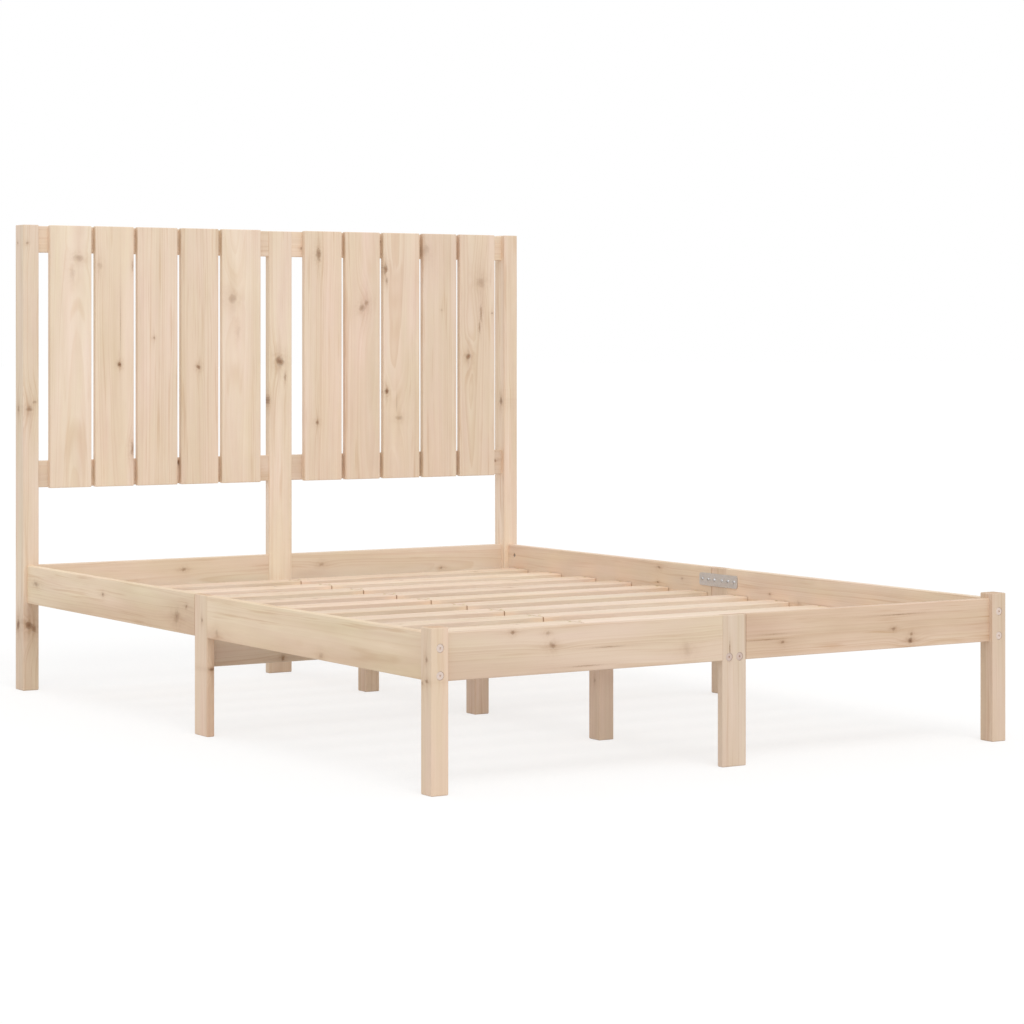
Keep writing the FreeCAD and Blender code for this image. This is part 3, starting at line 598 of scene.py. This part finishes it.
def unseen_look(name):
    """A look for a timber that no picture shows: the name settles the wood that it is cut from."""
    knots_per_metre = 2.5
    side_margin = 0.004
    end_margin = 0.03
    luck = random.Random("bed frame " + name)
    low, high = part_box(name)
    across, through, along = timber_axes(name)
    knots = []
    for _ in range(luck.randint(1, 2 + int((high[along] - low[along]) * knots_per_metre))):
        radius = luck.uniform(0.0020, 0.0055)
        margin = radius + side_margin
        place_across = luck.uniform(low[across] + margin, high[across] - margin)
        place_along = luck.uniform(low[along] + end_margin, high[along] - end_margin)
        darkness = luck.uniform(0.35, 0.85)
        stretch = luck.uniform(1.1, 1.7)
        knots.append((AXES[through], place_across, place_along, radius, darkness, stretch))
    flat_sawn = luck.random() < 0.5
    return Look(
        tone=luck.uniform(0.93, 1.02),
        pith=(luck.uniform(-0.02, 0.02) if flat_sawn else luck.choice((-1, 1)) * 0.11,
              luck.choice((-1, 1)) * luck.uniform(0.045, 0.07)),
        tilt=(luck.uniform(-0.004, 0.004), luck.choice((-1, 1)) * luck.uniform(0.004, 0.016)),
        rings=luck.uniform(0.65, 1.0),
        knots=knots)


def dress_timber(context, name):
    """Give one timber its own piece of pine."""
    finish = context.scene.bed_pine
    look = LOOKS.get(name) or unseen_look(name)
    middle = middle_of(name)
    across, through, along = timber_axes(name)
    material, bench = new_material("pine_" + name)
    spot = bench.add("ShaderNodeTexCoord")
    parts = bench.parts(bench.vector("SUBTRACT", spot["Object"], middle))
    place = bench.combined(parts[across], parts[through], parts[along])
    end_on = bench.parts(spot["Normal"])[along]

    knotted = dict.fromkeys(KNOT_TRACES, 0.0)
    for face, knot_across, knot_along, radius, darkness, stretch in look.knots:
        beside = through if face == AXES[across] else across
        knot = bench.use(shared_group("pine_knot", knot_group), {
            "Across": parts[beside],
            "Along": parts[along],
            "Middle across": knot_across - middle[beside],
            "Middle along": knot_along - middle[along],
            "Radius": radius,
            "Darkness": darkness,
            "Stretch": stretch,
            **knotted,
        })
        knotted = {trace: knot[trace] for trace in KNOT_TRACES}

    seed = random.Random("pine " + name).uniform(1.0, 40.0)
    if name.startswith("slat_row_"):
        # A row is two slats end to end, cut from different trees
        other_slat = bench.math("GREATER_THAN", parts[along], 0.0)
        seed = other_slat.line(3.3, seed)
    wood = [part * look.tone * (1 + (rest - 1) * look.amber)
            for part, rest in zip(finish.wood_colour, finish.amber_tint)]
    heart_and_shade_edge, heart_and_shade_slope, heart_and_shade_depth, heart_and_shade_blur = look.heart_and_shade
    grain = bench.use(shared_group("pine_grain", lambda: grain_group(finish)), {
        "Place": place,
        "End": bench.math("ABSOLUTE", end_on),
        "Seed": seed,
        "Wood": wood,
        "Pith across": look.pith[0],
        "Pith through": look.pith[1],
        "Tilt across": look.tilt[0],
        "Tilt through": look.tilt[1],
        "Ring width": finish.ring_width * look.rings,
        "Contrast": finish.ring_contrast * look.rings_show,
        "Streaks": finish.streak_contrast * look.figure,
        "Veins": finish.vein_contrast * look.figure,
        "Blush": look.blush,
        "Heart and shade edge": heart_and_shade_edge,
        "Heart and shade slope": heart_and_shade_slope,
        "Heart and shade depth": heart_and_shade_depth,
        "Heart and shade blur": heart_and_shade_blur,
        **knotted,
    })
    surface = bench.node("ShaderNodeBsdfPrincipled", {
        "Base Color": grain["Colour"],
        "Roughness": grain["Roughness"],
        "Normal": bench.node("ShaderNodeBump", {
            "Strength": 0.35, "Distance": 0.0002, "Height": grain["Height"]}),
        "IOR": 1.45,
        "Specular IOR Level": 0.35,
    })
    bench.add("ShaderNodeOutputMaterial", {"Surface": surface})
    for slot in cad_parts[name].material_slots:
        slot.material = material


def dress_timbers(context, *starts):
    for name in named(*starts):
        dress_timber(context, name)


def steel(context, name, colour, brushed_along):
    """Plated steel: slightly clouded, with fine brush lines along one axis."""
    lines_in_metre, ends_in_metre = 1400.0, 60.0
    rough = context.scene.bed_steel.roughness
    material, bench = new_material(name)
    place = bench.node("ShaderNodeTexCoord", output="Object")
    stretch = [ends_in_metre if axis == brushed_along else lines_in_metre for axis in AXES]
    lines = bench.noise(bench.vector("MULTIPLY", place, stretch), 1.0, 2.0)
    shade = bench.ease(bench.noise(place, 210.0, 3.0, 0.6), 0.25, 0.75, 0.88, 1.0)
    surface = bench.node("ShaderNodeBsdfPrincipled", {
        "Base Color": bench.blend(1.0, colour, shade, "MULTIPLY"),
        "Metallic": 1.0,
        "Roughness": lines.line(0.16, rough - 0.08),
        "Normal": bench.node("ShaderNodeBump", {
            "Strength": 0.25, "Distance": 0.00005, "Height": lines}),
    })
    bench.add("ShaderNodeOutputMaterial", {"Surface": surface})
    return material


def rings(segments, stations):
    """A round shell through rings of given radius and height, from the first to the last."""
    shell = bmesh.new()
    radius, height = stations[0]
    verts = bmesh.ops.create_circle(shell, segments=segments, radius=radius)["verts"]
    bmesh.ops.translate(shell, verts=verts, vec=(0, 0, height))
    loop = list(shell.edges)
    for next_radius, next_height in stations[1:]:
        grown = bmesh.ops.extrude_edge_only(shell, edges=loop)["geom"]
        verts = [part for part in grown if isinstance(part, bmesh.types.BMVert)]
        loop = [part for part in grown if isinstance(part, bmesh.types.BMEdge)]
        loop = [edge for edge in loop if all(vert in verts for vert in edge.verts)]
        growth = next_radius / radius
        bmesh.ops.scale(shell, verts=verts, vec=(growth, growth, 1))
        bmesh.ops.translate(shell, verts=verts, vec=(0, 0, next_height - height))
        radius, height = next_radius, next_height
    return shell


def close(shell):
    """Close a shell's open ends and turn its faces outwards."""
    rims = [edge for edge in shell.edges if edge.is_boundary]
    bmesh.ops.holes_fill(shell, edges=rims, sides=0)
    bmesh.ops.recalc_face_normals(shell, faces=shell.faces)


def keep(shell, name):
    """Turn a shell into a mesh, with its faces in the same order each run."""
    shell.verts.index_update()
    count = len(shell.verts)
    shell.faces.sort(key=lambda face: face.verts[0].index * count + face.verts[1].index)
    mesh = bpy.data.meshes.new(name)
    shell.to_mesh(mesh)
    shell.free()
    return mesh


def stamp(name, sets, material):
    """One turned piece on the frame's body: each set's master mesh at each of the set's places."""
    whole = bmesh.new()
    for master, places in sets:
        for place in places:
            copy = master.copy()
            copy.transform(place)
            whole.from_mesh(copy)
            bpy.data.meshes.remove(copy)
        bpy.data.meshes.remove(master)
    piece = bpy.data.objects.new(name, keep(whole, name))
    bpy.context.scene.collection.objects.link(piece)
    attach(piece, "root")
    piece.data.materials.append(material)
    piece.data.shade_smooth()
    piece.data.set_sharp_from_angle(angle=SHARP_ANGLE)
    return piece


def facing(direction, place):
    """Place for a fitting made along +Z: its outer end looks along the direction."""
    turn = Vector(direction).to_track_quat("Z", "Y").to_matrix().to_4x4()
    return Matrix.Translation(Vector(place)) @ turn


def mirrored(places):
    """Each place and its mirror image on the other side of the bed."""
    return [(side * x, y, z) for x, y, z in places for side in (-1, 1)]


def bolt_mesh(sizes, bolt_length):
    """A bolt down from the origin: flat head with a hexagon socket, plain shank, pointed end."""
    chamfer = 0.0002  # round the socket's mouth
    point = 0.001  # taper of the shank's end
    edge = sizes.bolt_edge
    soft = edge * (1 - math.sqrt(0.5))
    head = sizes.head_diameter / 2
    shank = sizes.shank_diameter / 2
    corner = math.pi / 6  # half the angle of a hexagon's side
    socket = sizes.socket_width / 2 / math.cos(corner)
    shell = rings(TURNED_SIDES, (
        (socket, -sizes.socket_depth),
        (socket, -chamfer),
        (socket + chamfer, 0),
        (head - edge, 0),
        (head - soft, -soft),
        (head, -edge),
        (head, -sizes.head_height),
        (shank, -sizes.head_height),
        (shank, -bolt_length + point),
        (shank - point, -bolt_length),
    ))
    for vert in shell.verts:
        if vert.co.xy.length < socket + chamfer + NEAR and vert.co.z > -sizes.socket_depth - NEAR:
            turn = math.atan2(vert.co.y, vert.co.x) % (2 * corner) - corner
            vert.co.xy *= math.cos(corner) / math.cos(turn)
    close(shell)
    return keep(shell, "bolt")


def outer_end(shell, reach):
    """Faces across a fitting's outer end with their middles within reach of its axis."""
    return [face for face in shell.faces
            if face.normal.z > 1 - NEAR and face.calc_center_median().xy.length < reach]


def nut_mesh(sizes, nut_length):
    """A barrel nut down from the origin, with a slot across its outer end."""
    bevel = 0.0005
    rim = 0.0008  # left standing round the slot's ends
    radius = sizes.nut_diameter / 2
    slot = sizes.nut_slot
    shell = rings(TURNED_SIDES, (
        (radius - bevel, 0),
        (radius, -bevel),
        (radius, bevel - nut_length),
        (radius - bevel, -nut_length),
    ))
    close(shell)
    bmesh.ops.inset_region(shell, faces=outer_end(shell, radius), thickness=rim, depth=0)
    for way in (-1, 1):
        cut = [part for face in outer_end(shell, radius / 2)
               for part in (face, *face.edges, *face.verts)]
        bmesh.ops.bisect_plane(shell, geom=list(dict.fromkeys(cut)), dist=NEAR,
                               plane_co=(0, way * slot / 2, 0), plane_no=(0, 1, 0))
    strip = [face for face in outer_end(shell, radius / 2)
             if abs(face.calc_center_median().y) < slot / 4]
    grown = bmesh.ops.extrude_face_region(shell, geom=strip)["geom"]
    floor = [part for part in grown if isinstance(part, bmesh.types.BMVert)]
    bmesh.ops.translate(shell, verts=floor, vec=(0, 0, -slot))
    bmesh.ops.delete(shell, geom=[face for face in strip if face.is_valid], context="FACES_ONLY")
    bmesh.ops.recalc_face_normals(shell, faces=shell.faces)
    return keep(shell, "barrel_nut")


def screw_mesh(diameter, rise):
    """A screw head on the origin with a cross recess, closed below."""
    radius = diameter / 2
    arm, half_width = 0.60 * radius, 0.13 * radius  # of the recess's cross
    floor, floor_size = 0.2 * rise, 0.8  # height of its floor, and size against its mouth
    shell = rings(SCREW_SIDES, (  # from the skirt sunk in the wood up to the recess's floor
        (0.80 * radius, -0.3 * rise),
        (radius, 0),
        (0.92 * radius, 0.45 * rise),
        (0.68 * radius, 0.85 * rise),
        (0.40 * radius, rise),
        (0.38 * radius, floor),
    ))
    bmesh.ops.rotate(shell, verts=shell.verts, cent=(0, 0, 0),
                     matrix=Matrix.Rotation(math.pi / SCREW_SIDES, 3, "Z"))

    def round_order(point):
        return math.atan2(point.y, point.x) % (2 * math.pi)

    cross = []
    for quarter in range(4):
        turn = Matrix.Rotation(quarter * math.pi / 2, 2)
        for corner in ((arm, half_width), (half_width, half_width), (half_width, arm)):
            cross.append(turn @ Vector(corner))
    cross.sort(key=round_order)
    for height, size in ((rise, 1.0), (floor, floor_size)):
        loop = [vert for vert in shell.verts if abs(vert.co.z - height) < NEAR]
        loop.sort(key=lambda vert: round_order(vert.co))
        for vert, point in zip(loop, cross):
            vert.co.xy = point * size
    close(shell)
    return keep(shell, "screw")


class BED_FRAME_OT_headboard_boards(bpy.types.Operator):
    """Finish the ten upright boards of the headboard"""

    bl_idname = "bed_frame.headboard_boards"
    bl_label = "Headboard boards"

    def execute(self, context):
        dress_timbers(context, "headboard_board_")
        return {"FINISHED"}


class BED_FRAME_OT_head_posts(bpy.types.Operator):
    """Finish the head posts and the centre post"""

    bl_idname = "bed_frame.head_posts"
    bl_label = "Head posts"

    def execute(self, context):
        dress_timbers(context, "head_post_", "head_centre_post")
        return {"FINISHED"}


class BED_FRAME_OT_headboard_rails(bpy.types.Operator):
    """Finish the headboard rails and the head end rails"""

    bl_idname = "bed_frame.headboard_rails"
    bl_label = "Headboard rails"

    def execute(self, context):
        dress_timbers(context, "headboard_top_rail_", "headboard_low_rail_", "head_end_rail_")
        return {"FINISHED"}


class BED_FRAME_OT_rails(bpy.types.Operator):
    """Finish the side rails and the foot rails"""

    bl_idname = "bed_frame.rails"
    bl_label = "Side and foot rails"

    def execute(self, context):
        dress_timbers(context, "side_rail_", "foot_rail_")
        return {"FINISHED"}


class BED_FRAME_OT_legs(bpy.types.Operator):
    """Finish the corner, middle and centre legs"""

    bl_idname = "bed_frame.legs"
    bl_label = "Legs"

    def execute(self, context):
        dress_timbers(context, "foot_corner_leg_", "foot_mid_leg", "side_mid_leg_", "centre_leg_")
        return {"FINISHED"}


class BED_FRAME_OT_beams(bpy.types.Operator):
    """Finish the centre beam and the cross beams"""

    bl_idname = "bed_frame.beams"
    bl_label = "Beams"

    def execute(self, context):
        dress_timbers(context, "centre_beam_", "cross_beam_")
        return {"FINISHED"}


class BED_FRAME_OT_slats(bpy.types.Operator):
    """Finish the slats and the ledgers that carry them"""

    bl_idname = "bed_frame.slats"
    bl_label = "Slats and ledgers"

    def execute(self, context):
        dress_timbers(context, "slat_row_", "slat_ledger_")
        return {"FINISHED"}


class BED_FRAME_OT_bolts(bpy.types.Operator):
    """Make the bolts in the legs, the posts and the centre beam's ends"""

    bl_idname = "bed_frame.bolts"
    bl_label = "Bolts"

    def execute(self, context):
        sizes = context.scene.bed_fittings
        colours = context.scene.bed_steel
        head = sizes.head_diameter / 2
        bright = steel(context, "bolt_steel_finish", colours.bolt_colour, "x")
        dull = steel(context, "beam_bolt_steel_finish", colours.beam_bolt_colour, "x")
        for name, ends, finish in (("leg_bolts", (-1,), bright), ("post_bolts", (1,), bright),
                                   ("beam_bolts", (-1, 1), dull)):
            low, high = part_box(name)
            levels = [middle_of(name).z]
            if high.z - low.z > 3 * head:
                levels = [low.z + head, high.z - head]
            sets = []
            for end in ends:
                face = low.y if end < 0 else high.y
                bolt = bolt_mesh(sizes, abs(face - self.tip(name, end)))
                spots = mirrored([(high.x - head, face, level) for level in levels])
                sets.append((bolt, [facing((0, end, 0), spot) for spot in spots]))
            piece = stamp(name + "_turned", sets, finish)
            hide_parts(name)
        return {"FINISHED"}

    def tip(self, name, end):
        """Y of the tips of the bolts with their heads at one end of the bed."""
        ys = [vert.co.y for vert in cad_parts[name].data.vertices if vert.co.y * end > 0]
        return max(ys) if end < 0 else min(ys)


class BED_FRAME_OT_barrel_nuts(bpy.types.Operator):
    """Make the slotted barrel nuts in the rails and the centre beam"""

    bl_idname = "bed_frame.barrel_nuts"
    bl_label = "Barrel nuts"

    def execute(self, context):
        nuts = self.lying_and_upright()
        places = [place for _, place in nuts]
        master = nut_mesh(context.scene.bed_fittings, nuts[0][0])
        material = steel(context, "nut_steel_finish", context.scene.bed_steel.nut_colour, "y")
        piece = stamp("barrel_nuts_turned", [(master, places)], material)
        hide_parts("barrel_nuts")
        return {"FINISHED"}

    def lying_and_upright(self):
        """Length and place of every barrel nut, read from the frame."""
        shell = bmesh.new()
        shell.from_mesh(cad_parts["barrel_nuts"].data)
        bmesh.ops.remove_doubles(shell, verts=shell.verts, dist=NEAR)
        nuts = []
        left = set(shell.verts)
        while left:
            island = [left.pop()]
            for vert in island:
                for edge in vert.link_edges:
                    other = edge.other_vert(vert)
                    if other in left:
                        left.remove(other)
                        island.append(other)
            low = Vector([min(vert.co[axis] for vert in island) for axis in range(3)])
            high = Vector([max(vert.co[axis] for vert in island) for axis in range(3)])
            middle = (low + high) / 2
            size = high - low
            if size.x > size.z:
                way = -1 if middle.x > 0 else 1
                end = (middle.x + way * size.x / 2, middle.y, middle.z)
                nuts.append((size.x, facing((way, 0, 0), end)))
            else:
                nuts.append((size.z, facing((0, 0, -1), (middle.x, middle.y, low.z))))
        shell.free()
        return sorted(nuts, key=lambda nut: tuple(nut[1].translation))


class BED_FRAME_OT_joining_plates(bpy.types.Operator):
    """Finish the joining plates and put a screw in each of their holes"""

    bl_idname = "bed_frame.joining_plates"
    bl_label = "Joining plates"
    hole_inset = 0.012  # from a plate's end to its first hole
    hole_step = 0.024
    plate_thickness = 0.002

    def execute(self, context):
        sizes = context.scene.bed_fittings
        colour = context.scene.bed_steel.plate_colour
        material = steel(context, "plate_steel_finish", colour, "z")
        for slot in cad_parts["joining_plates"].material_slots:
            slot.material = material
        level = middle_of("joining_plates").z
        side = middle_of("side_mid_leg_left").y
        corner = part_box("joining_plates")[1]
        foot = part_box("foot_mid_leg")[1].y + self.plate_thickness
        inner = corner.x - self.plate_thickness
        places = []
        for number in range(3):
            step = corner.y - side - self.hole_inset - number * self.hole_step
            for way in (-1, 1):
                places.append(facing((0, 1, 0), (way * step, foot, level)))
                for hand in (-1, 1):
                    spot = (hand * inner, side + way * step, level)
                    places.append(facing((-hand, 0, 0), spot))
        master = screw_mesh(sizes.plate_screw_diameter, sizes.plate_screw_rise)
        finish = steel(context, "plate_screw_finish", colour, "x")
        stamp("plate_screws", [(master, places)], finish)
        return {"FINISHED"}


class BED_FRAME_OT_wood_screws(bpy.types.Operator):
    """Put in the wood screws of the slats, ledgers, headboard boards and centre legs"""

    bl_idname = "bed_frame.wood_screws"
    bl_label = "Wood screws"
    slat_inset = 0.0095  # from a slat's outer end
    beam_inset = 0.013  # from the bed's middle line to a slat's inner screw
    ledger_shares = (0.06, 0.35, 0.65, 0.94)  # of a ledger's length
    leg_side = 0.009  # from the bed's middle line to a leg's screw
    leg_half = 0.010  # from the middle leg's middle to the screws of each half beam

    def execute(self, context):
        sizes = context.scene.bed_fittings
        places = self.in_slats() + self.in_ledgers() + self.in_boards() + self.in_beam()
        master = screw_mesh(sizes.screw_diameter, sizes.screw_rise)
        material = steel(context, "screw_finish", context.scene.bed_steel.screw_colour, "x")
        stamp("wood_screws", [(master, places)], material)
        return {"FINISHED"}

    def in_slats(self):
        """One screw near each end of every slat."""
        places = []
        for name in named("slat_row_"):
            y = middle_of(name).y
            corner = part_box(name)[1]
            ends = [(corner.x - self.slat_inset, y, corner.z), (self.beam_inset, y, corner.z)]
            places += [facing((0, 0, 1), spot) for spot in mirrored(ends)]
        return places

    def in_ledgers(self):
        """Four screws through each ledger into its side rail."""
        places = []
        for name in named("slat_ledger_"):
            low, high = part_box(name)
            way = -1 if low.x > 0 else 1
            x = low.x if way < 0 else high.x
            for part in self.ledger_shares:
                spot = (x, low.y + (high.y - low.y) * part, middle_of(name).z)
                places.append(facing((way, 0, 0), spot))
        return places

    def in_boards(self):
        """Two screws from behind through each headboard rail into every board."""
        places = []
        for rail in ("headboard_top_rail_left", "headboard_low_rail_left"):
            low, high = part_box(rail)
            for name in named("headboard_board_"):
                left, right = (corner.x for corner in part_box(name))
                for way in (-1, 1):
                    x = (left + right) / 2 + way * (right - left) / 4
                    z = (low.z + high.z) / 2 + way * (high.z - low.z) / 5
                    places.append(facing((0, 1, 0), (x, high.y, z)))
        return places

    def in_beam(self):
        """Two screws down through each half of the centre beam into every leg below it."""
        places = []
        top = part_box("centre_beam_foot")[1].z
        for leg in ("centre_leg_foot", "centre_leg_middle", "centre_leg_head"):
            rows = (-self.leg_half, self.leg_half) if leg == "centre_leg_middle" else (0,)
            spots = mirrored([(self.leg_side, middle_of(leg).y + row, top) for row in rows])
            places += [facing((0, 0, 1), spot) for spot in spots]
        return places


class BED_FRAME_OT_stage(bpy.types.Operator):
    """Set up the floor, the light and the camera"""

    bl_idname = "bed_frame.stage"
    bl_label = "Stage"
    white = (1, 1, 1)
    floor_drop = 0.0002  # keeps the floor's surface off the legs' ends
    floor_white = 1.02  # just over full, so that the floor reads as plain white
    sun_distance = 6
    sensor_width = 36  # millimetres
    view_depth = 400  # metres

    def execute(self, context):
        setting = context.scene.bed_stage
        self.floor(context, setting)
        self.sky(context, setting)
        self.sun(context, setting)
        self.camera(context, setting)
        context.scene.view_settings.view_transform = "Standard"
        return {"FINISHED"}

    def told_apart(self, bench, lit, seen):
        """One surface for light that bounces, one for the eye, reflections and views through glass."""
        path = bench.add("ShaderNodeLightPath")
        directly = bench.math("MAXIMUM", path["Is Camera Ray"], path["Is Glossy Ray"])
        directly = bench.math("MAXIMUM", directly, path["Is Transmission Ray"])
        return bench.node("ShaderNodeMixShader", {0: directly, 1: lit, 2: seen})

    def floor(self, context, setting):
        shell = bmesh.new()
        bmesh.ops.create_grid(shell, x_segments=1, y_segments=1, size=setting.floor_size / 2)
        bmesh.ops.translate(shell, verts=shell.verts, vec=(0, 0, -self.floor_drop))
        floor = bpy.data.objects.new("floor", keep(shell, "floor"))
        context.scene.collection.objects.link(floor)
        material, bench = new_material("floor_white")
        place = bench.node("ShaderNodeTexCoord", output="Object")
        mottle = bench.ease(bench.noise(place, 1.5, 2.0), 0.2, 0.8, 0.795, 0.805)
        paint = bench.node("ShaderNodeCombineColor", {0: mottle, 1: mottle, 2: mottle})
        lit = bench.node("ShaderNodeBsdfDiffuse", {0: paint})
        shadow = setting.floor_shadow
        seen_lit = bench.node("ShaderNodeBsdfDiffuse", {0: (shadow, shadow, shadow)})
        glow = bench.node("ShaderNodeEmission", {0: self.white, 1: self.floor_white - shadow})
        seen = bench.node("ShaderNodeAddShader", {0: seen_lit, 1: glow})
        bench.add("ShaderNodeOutputMaterial", {"Surface": self.told_apart(bench, lit, seen)})
        floor.data.materials.append(material)

    def sky(self, context, setting):
        world = bpy.data.worlds.new("even_sky")
        context.scene.world = world
        world.use_nodes = True
        bench = Bench(world.node_tree)
        light = bench.node("ShaderNodeBackground", {0: self.white, 1: setting.sky_light})
        backdrop = bench.node("ShaderNodeBackground", {0: self.white, 1: 1.0})
        bench.add("ShaderNodeOutputWorld", {"Surface": self.told_apart(bench, light, backdrop)})

    def sun(self, context, setting):
        lamp = bpy.data.lights.new("sun", "SUN")
        lamp.energy = setting.sun_light
        lamp.angle = setting.sun_softness
        sun = bpy.data.objects.new("sun", lamp)
        context.scene.collection.objects.link(sun)
        direction = Vector(setting.sun_direction)
        sun.location = direction.normalized() * self.sun_distance
        sun.rotation_euler = direction.to_track_quat("Z", "Y").to_euler()

    def camera(self, context, setting):
        lens = bpy.data.cameras.new("camera")
        lens.sensor_width = self.sensor_width
        lens.lens = setting.camera_lens
        lens.shift_x, lens.shift_y = setting.camera_shift
        lens.clip_end = self.view_depth
        camera = bpy.data.objects.new("camera", lens)
        context.scene.collection.objects.link(camera)
        camera.location = setting.camera_place
        camera.rotation_euler = (math.pi / 2, 0, -setting.camera_heading)
        context.scene.camera = camera


class BED_FRAME_PT_sidebar(bpy.types.Panel):
    """Lists the bed frame's finishes, fittings and stage"""

    bl_idname = "BED_FRAME_PT_sidebar"
    bl_label = "Bed frame"
    bl_space_type = "VIEW_3D"
    bl_region_type = "UI"
    bl_category = "Bed frame"

    def draw(self, context):
        for group in SETTINGS:
            box = self.layout.box()
            settings = getattr(context.scene, group)
            for name in settings.__annotations__:
                box.prop(settings, name)
        for operator in OPERATORS:
            self.layout.operator(operator.bl_idname)


SETTINGS = {
    "bed_pine": PineFinish,
    "bed_steel": SteelFinish,
    "bed_fittings": FittingSizes,
    "bed_stage": StageSetting,
}

OPERATORS = (
    BED_FRAME_OT_stage,
    BED_FRAME_OT_headboard_boards,
    BED_FRAME_OT_head_posts,
    BED_FRAME_OT_headboard_rails,
    BED_FRAME_OT_rails,
    BED_FRAME_OT_legs,
    BED_FRAME_OT_beams,
    BED_FRAME_OT_slats,
    BED_FRAME_OT_bolts,
    BED_FRAME_OT_barrel_nuts,
    BED_FRAME_OT_joining_plates,
    BED_FRAME_OT_wood_screws,
)


def register():
    for group in SETTINGS.values():
        bpy.utils.register_class(group)
    for operator in OPERATORS:
        bpy.utils.register_class(operator)
    bpy.utils.register_class(BED_FRAME_PT_sidebar)
    for name, group in SETTINGS.items():
        setattr(bpy.types.Scene, name, bpy.props.PointerProperty(type=group))


def unregister():
    for name in SETTINGS:
        delattr(bpy.types.Scene, name)
    bpy.utils.unregister_class(BED_FRAME_PT_sidebar)
    for operator in reversed(OPERATORS):
        bpy.utils.unregister_class(operator)
    for group in reversed(SETTINGS.values()):
        bpy.utils.unregister_class(group)


def main():
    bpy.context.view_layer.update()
    register()
    for operator in OPERATORS:
        family, name = operator.bl_idname.split(".")
        getattr(getattr(bpy.ops, family), name)()


if __name__ == "__main__":
    main()
